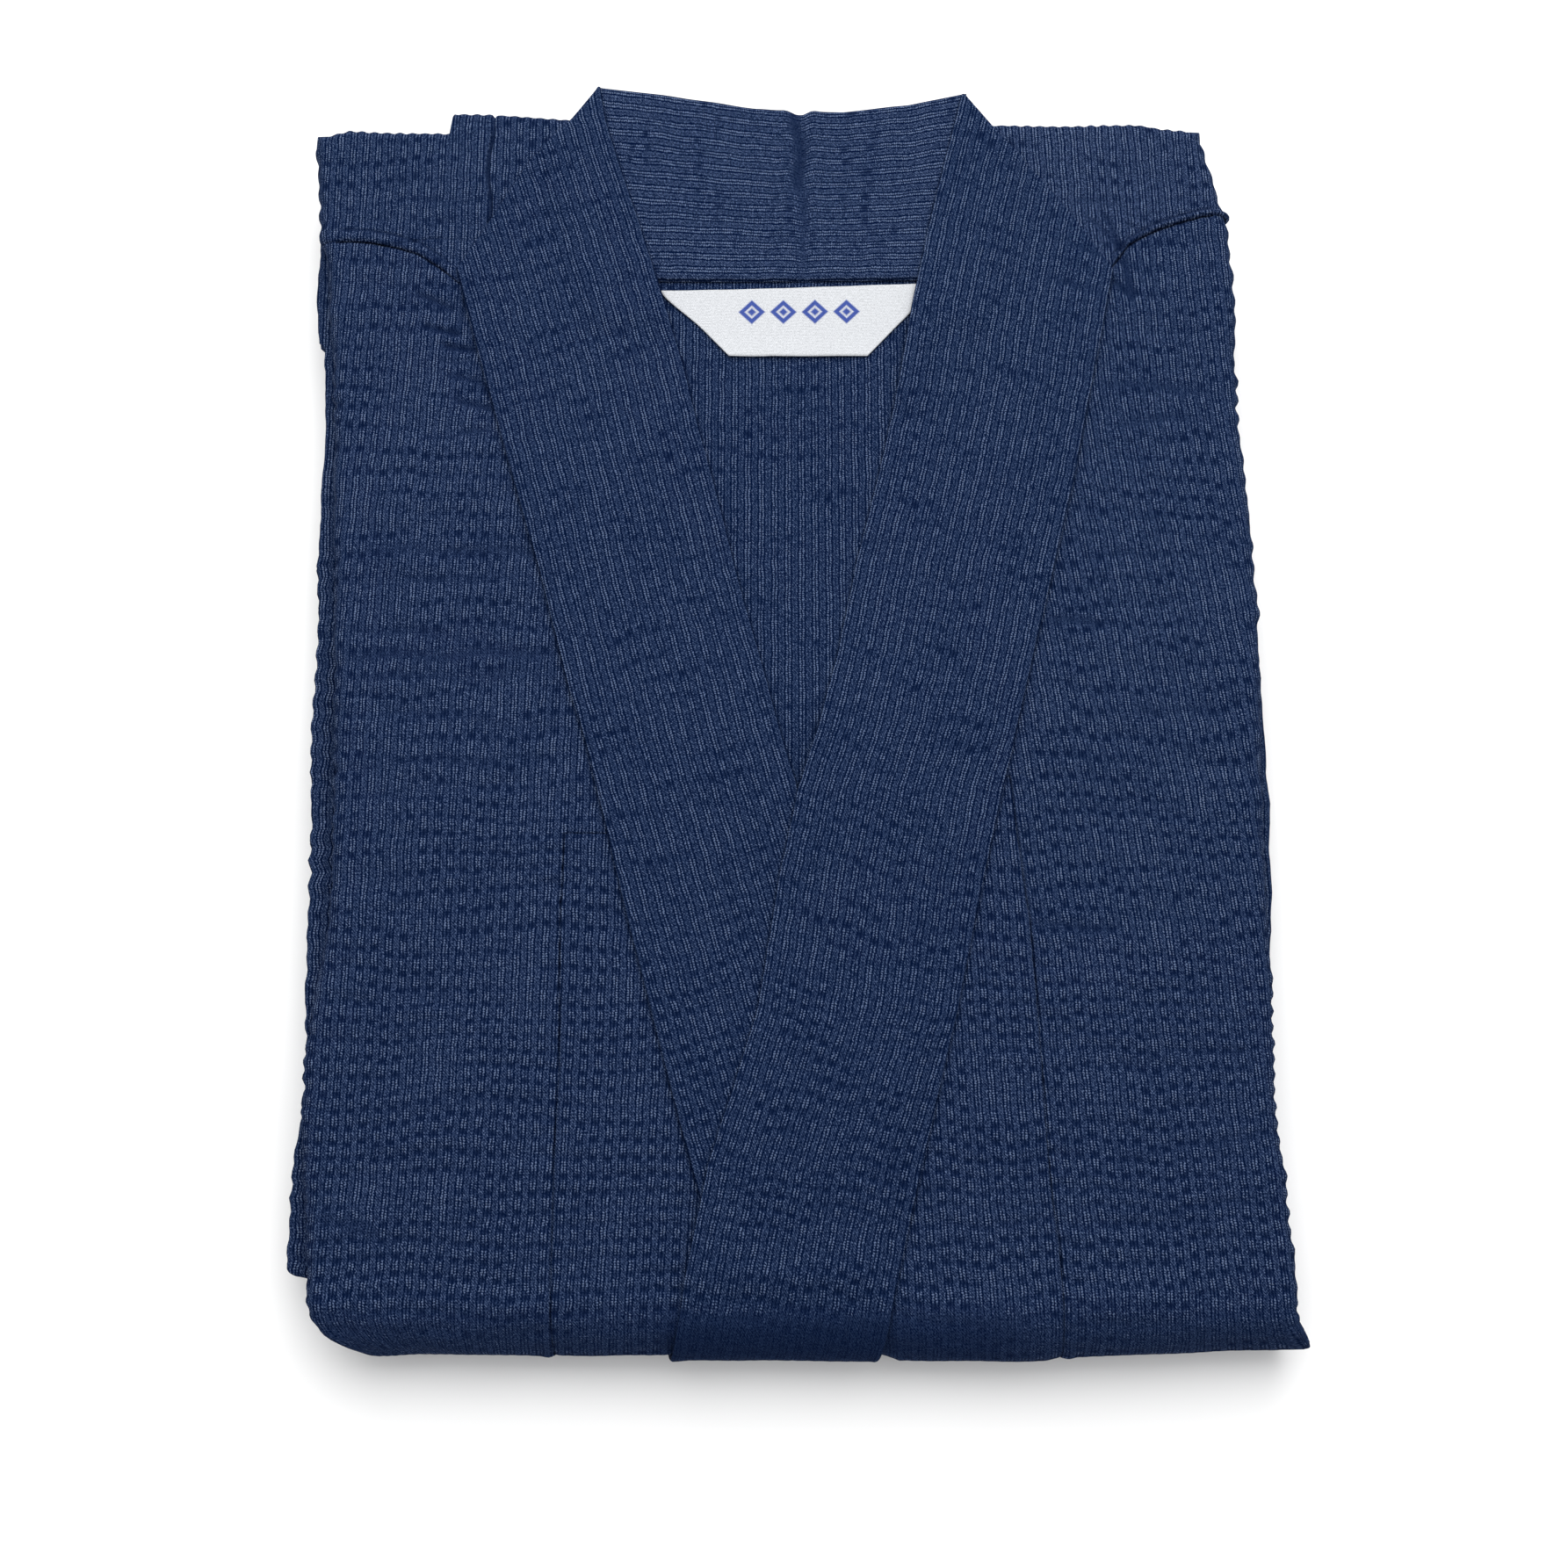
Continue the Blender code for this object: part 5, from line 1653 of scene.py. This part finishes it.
@dataclass
class FoldedLayers:
    """What the parcel holds inside: its layered rim, its underside and a plain core."""

    weave: Weave
    seed: int = 21
    plies: int = 7                # in each half of the rim
    ply_steps: int = 4
    parting: float = 0.90         # how far the plies part from each other
    notch: float = 1.6            # how deep the gap between two of them is
    depth: float = 14.7           # what the plies of one half add up to
    cell: float = 2.0
    side_reach: float = 2.4       # how far the uppermost ply stands out past the fold's axis
    open_reach: float = 4.4       # the same behind the neck, where no shoulder covers it
    open_half: float = 56.0       # half the width of that stretch
    under_reach: float = 4.8      # the same under the middle, at the collar end
    under_inset: float = 3.0      # how far the lower half stays back there
    under_margin: float = 1.6     # the underside ends this far inside the lower edges
    core_scale: tuple[float, float, float] = (0.955, 0.972, 0.93)

    @staticmethod
    def stations(*parts: Number) -> Array:
        """Rows of x, s, out x, out s, outer reach and inner reach."""
        return np.stack(np.broadcast_arrays(*parts), axis=1)

    def side(self, side: Side, upper: bool) -> Array:
        """Stations along one side.

        Args:
            side: Which side.
            upper: Whether above the parcel's middle, or else below it.

        Returns:
            The stations, from the bottom fold to the collar end.
        """
        half = HALVES[side]
        at = runs(PARCEL.bend, 214.0 if upper else 213.0, longest=self.cell)
        if upper:
            at = np.union1d(at, runs(-147.0, -140.0, longest=0.5))
        table = half.edge if upper else half.lower_edge
        axis = table.read("ridge", at) - half.sign * PARCEL.hem
        outer = self.side_reach if upper else half.sign * (table.read("ridge", at) - axis)
        inner = half.sign * (table.read("layer", at) - axis)
        s = at if upper else PARCEL.turned - (at - PARCEL.bend)
        return self.stations(axis, s, half.sign, 0.0, outer, inner)

    def end(self, start: float, stop: float, upper: bool) -> Array:
        """Stations along the collar end.

        Args:
            start: x of the first.
            stop: x of the last.
            upper: Whether above the parcel's middle, or else below it.

        Returns:
            The stations.
        """
        x = runs(start, stop, longest=self.cell)
        s = CORE_END.read("s", x) - PARCEL.hem
        if upper:
            opened = 1.0 - ease((np.abs(x - 1.0) - self.open_half) / 6.0)
            outer = mix(self.side_reach, self.open_reach, opened)
            return self.stations(x, s, 0.0, 1.0, outer, 5.6)
        s = PARCEL.turned - (s - self.under_inset - PARCEL.bend)
        return self.stations(x, s, 0.0, -1.0, self.under_reach, 5.4)

    def corner(self, start: Array, stop: Array) -> Array:
        """Stations round a corner.

        Args:
            start: The station before it.
            stop: The station after it.

        Returns:
            The stations between them.
        """
        turn = column(np.linspace(0.0, math.pi / 2.0, 7)[1:-1])
        made = mix(start, stop, turn / (math.pi / 2.0))
        made[:, 2:4] = start[2:4] * np.cos(turn) + stop[2:4] * np.sin(turn)
        return made

    def bend(self, start: Array, stop: Array) -> Array:
        """Stations round the bottom fold.

        Args:
            start: The station before it.
            stop: The station after it, underneath.

        Returns:
            The stations between them.
        """
        angle = column(runs(0.0, 180.0, longest=10.0)[1:-1])
        made = mix(start, stop, ease(angle / 180.0))
        made[:, 1:2] = PARCEL.bend_s(angle)
        made[:, 4:5] = mix(self.side_reach, stop[4], ease((angle - 140.0) / 25.0))
        return made

    def round_rim(self) -> Array:
        """Stations once round the parcel.

        Returns:
            Up the left side, across, down the right one, and back underneath.
        """
        up, under = self.side(Side.LEFT, True), self.side(Side.RIGHT, False)
        down, back = self.side(Side.RIGHT, True)[::-1], self.side(Side.LEFT, False)[::-1]
        top = self.end(up[-1, 0], down[0, 0], True)
        low = self.end(under[-1, 0], back[0, 0], False)
        return np.concatenate([
            up, self.corner(up[-1], top[0]), top, self.corner(top[-1], down[0]), down,
            self.bend(down[-1], under[0]), under,
            self.corner(under[-1], low[0]), low, self.corner(low[-1], back[0]), back,
            self.bend(up[0], back[-1])[::-1], up[:1],
        ])

    def profile(self, outer: Array, inner: Array, travel: Array) -> tuple[Array, Array]:
        """The edges of the plies, one over the other.

        Args:
            outer: Reach of the uppermost ply.
            inner: Reach of the lowest.
            travel: Distance round the rim.

        Returns:
            How far out each column of the rim lies at each station, and how deep.
        """
        rng = np.random.default_rng(self.seed)
        bounds = np.cumsum(rng.uniform(0.85, 1.15, self.plies))
        bounds = np.append(0.0, bounds) / bounds[-1] * self.depth
        turn = np.linspace(0.0, math.pi, self.ply_steps + 1)
        outs, depths = [], []
        for ply, (top, low) in enumerate(zip(bounds, bounds[1:])):
            share = ease((top + low - 14.0) / 4.0)
            half = 0.5 * (low - top)
            wander = 0.9 * Waves(40 + ply, 90.0, 90.0, 8).at(travel, 0.0)
            reach = mix(outer, inner, share) + wander * (0.35 + 0.65 * share)
            reach = reach - 0.5 * rng.uniform(0.0, 1.0)
            outs += [reach - half + half * np.sin(turn), reach - half - self.notch]
            depths += [top + half * (1.0 - self.parting * np.cos(turn)), [low]]
        return np.concatenate(outs[:-1], axis=1), np.concatenate(depths[:-1])[None, :]

    def rim(self, sewing: Sewing) -> bpy.types.Object:
        """The folded edges of the hidden layers, all round the parcel.

        Args:
            sewing: What they are made from.

        Returns:
            The finished piece.
        """
        stations = self.round_rim()
        x0, s0, out_x, out_s, outer, inner = (column(part) for part in stations.T)
        steps = np.hypot(*np.diff(stations[:, :2], axis=0).T)
        travel = column(np.append(0.0, np.cumsum(steps)))
        out, depth = self.profile(outer, inner, travel)
        top = PARCEL.level(x0, s0)
        h = top - depth * (top - PARCEL.middle - 0.3) / self.depth
        out = out + 0.8 * self.weave.relief(x0, s0, x0, s0) + self.weave.beats(travel)
        step_out = np.diff(out, prepend=out[:, :1])
        arc = np.cumsum(np.hypot(step_out, np.diff(depth, prepend=depth[:, :1])), axis=1)
        ahead = np.abs(out_s) > 0.5
        u = np.where(ahead, x0, x0 + out_x * (2.0 + arc))
        v = np.where(ahead, s0 + np.sign(out_s) * arc, s0)
        run = self.weave.patch(x0 + out_x * out, s0 + out_s * out, h, u, v)
        return sewing.piece("layer_edges", run, outward=sideways)

    def underside(self, sewing: Sewing) -> bpy.types.Object:
        """The sheet that lies on the surface below, with its shallow creases.

        Args:
            sewing: What it is made from.

        Returns:
            The finished piece.
        """
        in_bend = runs(PARCEL.bend_s(PANEL_END), PARCEL.turned, longest=3.0)[:-1]
        y = runs(PARCEL.bend, 217.0, longest=3.0)
        s = column(np.concatenate([in_bend, PARCEL.turned - (y - PARCEL.bend)]))
        y = PARCEL.bend + np.maximum(0.0, PARCEL.turned - s)
        left = LOWER_LEFT_EDGE.read("ridge", y) + self.under_margin
        right = LOWER_RIGHT_EDGE.read("ridge", y) - self.under_margin
        x = mix(left, right, across(110))
        dip = np.abs(self.weave.relief(x, y, x, s)) + bell(x - 3.0 - 0.01 * y, 0.9)
        h = PARCEL.height - dip * ease(np.minimum(x - left, right - x) / 4.0 + 0.2)
        return sewing.piece("underside", self.weave.patch(x, s, h, x, s), outward=downward)

    def core(self, sewing: Sewing) -> bpy.types.Object:
        """The closed stack inside, a little smaller than the layers' rim.

        Args:
            sewing: What it is made from; it takes no wall.

        Returns:
            The finished piece.
        """
        mesh = bmesh.new()
        mesh.from_mesh(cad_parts["folded_layers"].data)
        bmesh.ops.remove_doubles(mesh, verts=mesh.verts, dist=1e-6)
        grain = mesh.verts.layers.float_vector.new("grain")
        mesh.verts.layers.float_vector.new("tone")
        middle = Matrix.Translation((0.0, 0.0, -PARCEL.middle * MM))
        bmesh.ops.scale(mesh, verts=mesh.verts, vec=self.core_scale, space=middle)
        for vert in mesh.verts:
            vert[grain] = (vert.co.x / MM, vert.co.y / MM, vert.co.y / MM / 7.0)
        piece = mesh_object("folded_core", mesh)
        place(piece, sewing.material, sewing.slot, sewing.node)
        return piece


@dataclass
class Studio:
    """Pale floor, soft light from the collar end and the camera."""

    floor_size: float = 6.0
    floor_colour: Colour = (0.93, 0.93, 0.93, 1.0)
    sky_colour: Colour = (1.0, 1.0, 1.0, 1.0)
    sky_strength: float = 0.57
    tilt: float = 14.0            # degrees the camera leans from straight down
    distance: float = 0.6045
    aim_height: float = 0.033
    lens: float = 45.72
    sensor: float = 36.0

    def build(self) -> None:
        """Make the floor, the lights, the world and the camera."""
        self.floor()
        self.light("key_light", (0.03, 0.70, 1.05), 1.5, 16.8)
        self.light("fill_light", (0.2, 0.40, 1.65), 2.2, 13.4)
        world = bpy.data.worlds.new("studio")
        world.use_nodes = True
        sky = world.node_tree.nodes["Background"]
        sky.inputs["Color"].default_value = self.sky_colour
        sky.inputs["Strength"].default_value = self.sky_strength
        bpy.context.scene.world = world
        bpy.context.scene.view_settings.view_transform = "Standard"
        self.camera()

    def floor(self) -> None:
        """A plain pale floor."""
        mesh = bmesh.new()
        bmesh.ops.create_grid(mesh, x_segments=1, y_segments=1, size=self.floor_size / 2.0)
        floor = mesh_object("floor", mesh)
        settings = {"Base Color": self.floor_colour, "Roughness": 0.9}
        floor.data.materials.append(new_material("floor", settings)[0])

    def light(
        self, name: str, where: tuple[float, float, float], size: float, power: float
    ) -> None:
        """A square area light that faces the parcel.

        Args:
            name: Its name.
            where: Its place, in metres.
            size: The length of its sides, in metres.
            power: Its power, in watts.
        """
        data = bpy.data.lights.new(name, "AREA")
        data.energy = power
        data.size = size
        lamp = bpy.data.objects.new(name, data)
        lamp.location = where
        lamp.rotation_euler = (-Vector(where)).to_track_quat("-Z", "Y").to_euler()
        bpy.context.scene.collection.objects.link(lamp)

    def camera(self) -> None:
        """The camera, above the parcel's lower half and tipped towards the collar."""
        data = bpy.data.cameras.new("camera")
        data.lens = self.lens
        data.sensor_width = self.sensor
        data.clip_start = 0.01
        eye = bpy.data.objects.new("camera", data)
        aim = Vector((SHIFT_X * MM, SHIFT_Y * MM, self.aim_height))
        lean = math.radians(self.tilt)
        eye.location = aim + self.distance * Vector((0.0, -math.sin(lean), math.cos(lean)))
        eye.rotation_euler = (lean, 0.0, 0.0)
        bpy.context.scene.collection.objects.link(eye)
        bpy.context.scene.camera = eye


# Each crease also paints shade along itself, darker the deeper it is.
# Rows of x and s at each end, then depth and width.
LEFT_CREASES = creases(
    (-138, 77, -69, 75.5, 0.45, 2.2), (-136, 65.5, -80, 67, 0.35, 2),
    (-137, 49.8, -90, 47.8, 0.4, 1.9), (-135, 41.2, -68.5, 42.6, 0.55, 2.2),
    (-133, 34.7, -68, 35.5, 0.4, 2), (-125, 25.7, -73, 17.3, 0.35, 2.4),
    (-134, 6.2, -73, 9, 0.35, 2.2), (-134, -3.4, -78, 0.7, 0.3, 2.2),
    (-117, 153.2, -104, 150.8, 0.95, 1.1), (-110.5, 147.2, -98.5, 145, 1.1, 1.1),
    (-108, 135.2, -94.5, 133.4, 0.85, 1.2), (-106, 126.8, -92.5, 125.4, 0.95, 1.1),
    (-121, 164.5, -107, 159, 0.75, 1.2), (-103.5, 164, -106.5, 150, 0.7, 0.9),
    (-112, 142, -100, 140.5, 0.45, 1.3), (-104, 117, -92, 116, 0.55, 1.3),
    (-130, -30, -90, -27, 0.25, 2.2), (-132, -64, -98, -66, 0.3, 2.4),
    (-118, -97, -72, -94, 0.3, 2.4), (-136, -126, -112, -138, 0.45, 2.6),
)
RIGHT_CREASES = creases(
    (101.8, 133.9, 136.8, 130.9, 0.5, 2), (102.7, 118.8, 133.5, 121.8, 0.45, 2),
    (82.4, 54, 100, 50.6, 0.6, 1.8), (107.1, 25.7, 136.6, 22.9, 0.35, 2.4),
    (62, -42.5, 101.5, -43.9, 0.5, 2), (110.5, 177.5, 114.5, 164.5, 0.95, 1.2),
    (105, 170, 114, 162.5, 0.8, 1.1), (96, 78, 118, 74, 0.35, 2), (88, -5, 126, -9, 0.3, 2.2),
    (98, -84, 140, -80, 0.3, 2.3), (96, -112, 143, -104, 0.35, 2.3),
    (100, -130, 144, -121, 0.3, 2),
)
LEFT_SHOULDER_CREASES = creases(
    (-97.2, 228, -96.8, 184, 1.5, 0.45), (-129, 182.8, -99, 184.6, 0.55, 0.35),
    (-116, 192, -99, 188.5, 0.35, 0.6), (-94, 197.5, -84.5, 193, 0.7, 1.1),
    (-118, 198.5, -99, 197, 0.4, 1.6), (-150, 193, -128, 191, 0.3, 1.8),
    (-95.5, 190, -88, 200, 0.6, 0.9), (-117, 172.5, -107, 166.5, 0.8, 0.7),
)
RIGHT_SHOULDER_CREASES = creases(
    (104, 194, 113, 178, 0.85, 1.2), (99, 193, 109.5, 181, 0.7, 1),
    (96, 200.5, 112, 196, 0.45, 1.5), (110, 209, 134, 206, 0.3, 2),
    (112, 191, 119, 186.5, 0.6, 0.8), (78, 207, 100, 208.5, 0.25, 0.6),
)
BAND_CREASES = creases(
    (87, 170, 104, 162, 0.5, 1.2), (92, 183, 104, 176, 0.55, 1.2),
)
COLLAR_CREASES = creases(
    (3.6, 236, 5, 203, 1.1, 1.8), (5, 208, 7.5, 170, 0.5, 1.8), (-1.5, 222, 3.5, 215, 0.45, 0.9),
    (8.5, 218, 4.5, 208, 0.45, 0.9), (-1, 207, 4, 199, 0.4, 0.9), (9.5, 203, 6, 192, 0.35, 0.9),
    (-46, 225, -42, 205, 0.3, 1.8), (-49, 231, -34, 226, 0.3, 1.5),
)

# Grain, pucker up and down the parcel, ripple, swell, rib, seed and creases.
LAYER_WEAVE = Weave(StraightGrain(), 0.35, 0.35, 0.12, 0.2, 0.05, 50.0)
LEFT_WEAVE = Weave(left_grain, 0.58, 0.88, 0.24, 0.28, 0.06, 0.0, LEFT_CREASES)
RIGHT_WEAVE = Weave(right_grain, 0.52, 0.86, 0.22, 0.28, 0.06, 17.0, RIGHT_CREASES)
OVERLAP_WEAVE = Weave(StraightGrain(-0.06, 2.0), 0.6, 0.88, 0.22, 0.2, 0.06, 37.0)
LEFT_SHOULDER_WEAVE = Weave(
    StraightGrain(0.0, 0.4), 0.45, 0.5, 0.15, 0.2, 0.06, 23.0, LEFT_SHOULDER_CREASES
)
RIGHT_SHOULDER_WEAVE = Weave(
    StraightGrain(-0.03, 1.4), 0.4, 0.5, 0.15, 0.2, 0.06, 29.0, RIGHT_SHOULDER_CREASES
)
BACK_WEAVE = Weave(StraightGrain(0.0, 0.8), 0.22, 0.3, 0.05, 0.12, 0.05, 61.0)
COLLAR_WEAVE = Weave(StraightGrain(), 0.12, 0.12, 0.1, 0.2, 0.06, 67.0, COLLAR_CREASES)
LEFT_BAND_WEAVE = Weave(StraightGrain(), 0.20, 0.52, 0.10, 0.14, 0.06, 71.0)
RIGHT_BAND_WEAVE = Weave(StraightGrain(), 0.18, 0.54, 0.10, 0.14, 0.06, 79.0, BAND_CREASES)


def main() -> None:
    logging.basicConfig(level=logging.INFO)
    cloths = wardrobe()
    layers = FoldedLayers(LAYER_WEAVE)
    core = layers.core(cloths["rim"])
    rim = layers.rim(cloths["rim"])
    under = layers.underside(cloths["underside"])
    fronts = [FrontPanel(Side.LEFT, LEFT_WEAVE), FrontPanel(Side.RIGHT, RIGHT_WEAVE)]
    front_pieces = [panel.build(cloths["panel"]) for panel in fronts]
    overlaps = [OverlapPanel(Side.LEFT, LEFT_WEAVE), OverlapPanel(Side.RIGHT, OVERLAP_WEAVE)]
    overlap_pieces = [panel.build(cloths["panel"]) for panel in overlaps]
    right_shoulder = Shoulder(
        Side.RIGHT, RIGHT_SHOULDER_WEAVE, ridge=1.25, ridge_width=1.15, ridge_from=1.5
    )
    shoulder_pieces = [
        Shoulder(Side.LEFT, LEFT_SHOULDER_WEAVE).build(cloths["panel"]),
        right_shoulder.build(cloths["right_shoulder"]),
    ]
    neck = BackOfNeck(BACK_WEAVE, COLLAR_WEAVE)
    back = neck.body(cloths["back"])
    collar = neck.collar(cloths["collar"])
    label = neck.label(cloths["label"])
    bands = [
        CollarBand(Side.LEFT, LEFT_BAND_WEAVE, top=238.4, end=LIFTS.band_end),
        CollarBand(Side.RIGHT, RIGHT_BAND_WEAVE, top=235.7, end=PARCEL.bend_s(135.0)),
    ]
    band_pieces = [band.build(cloths["band"]) for band in bands]
    Studio().build()


if __name__ == "__main__":
    main()
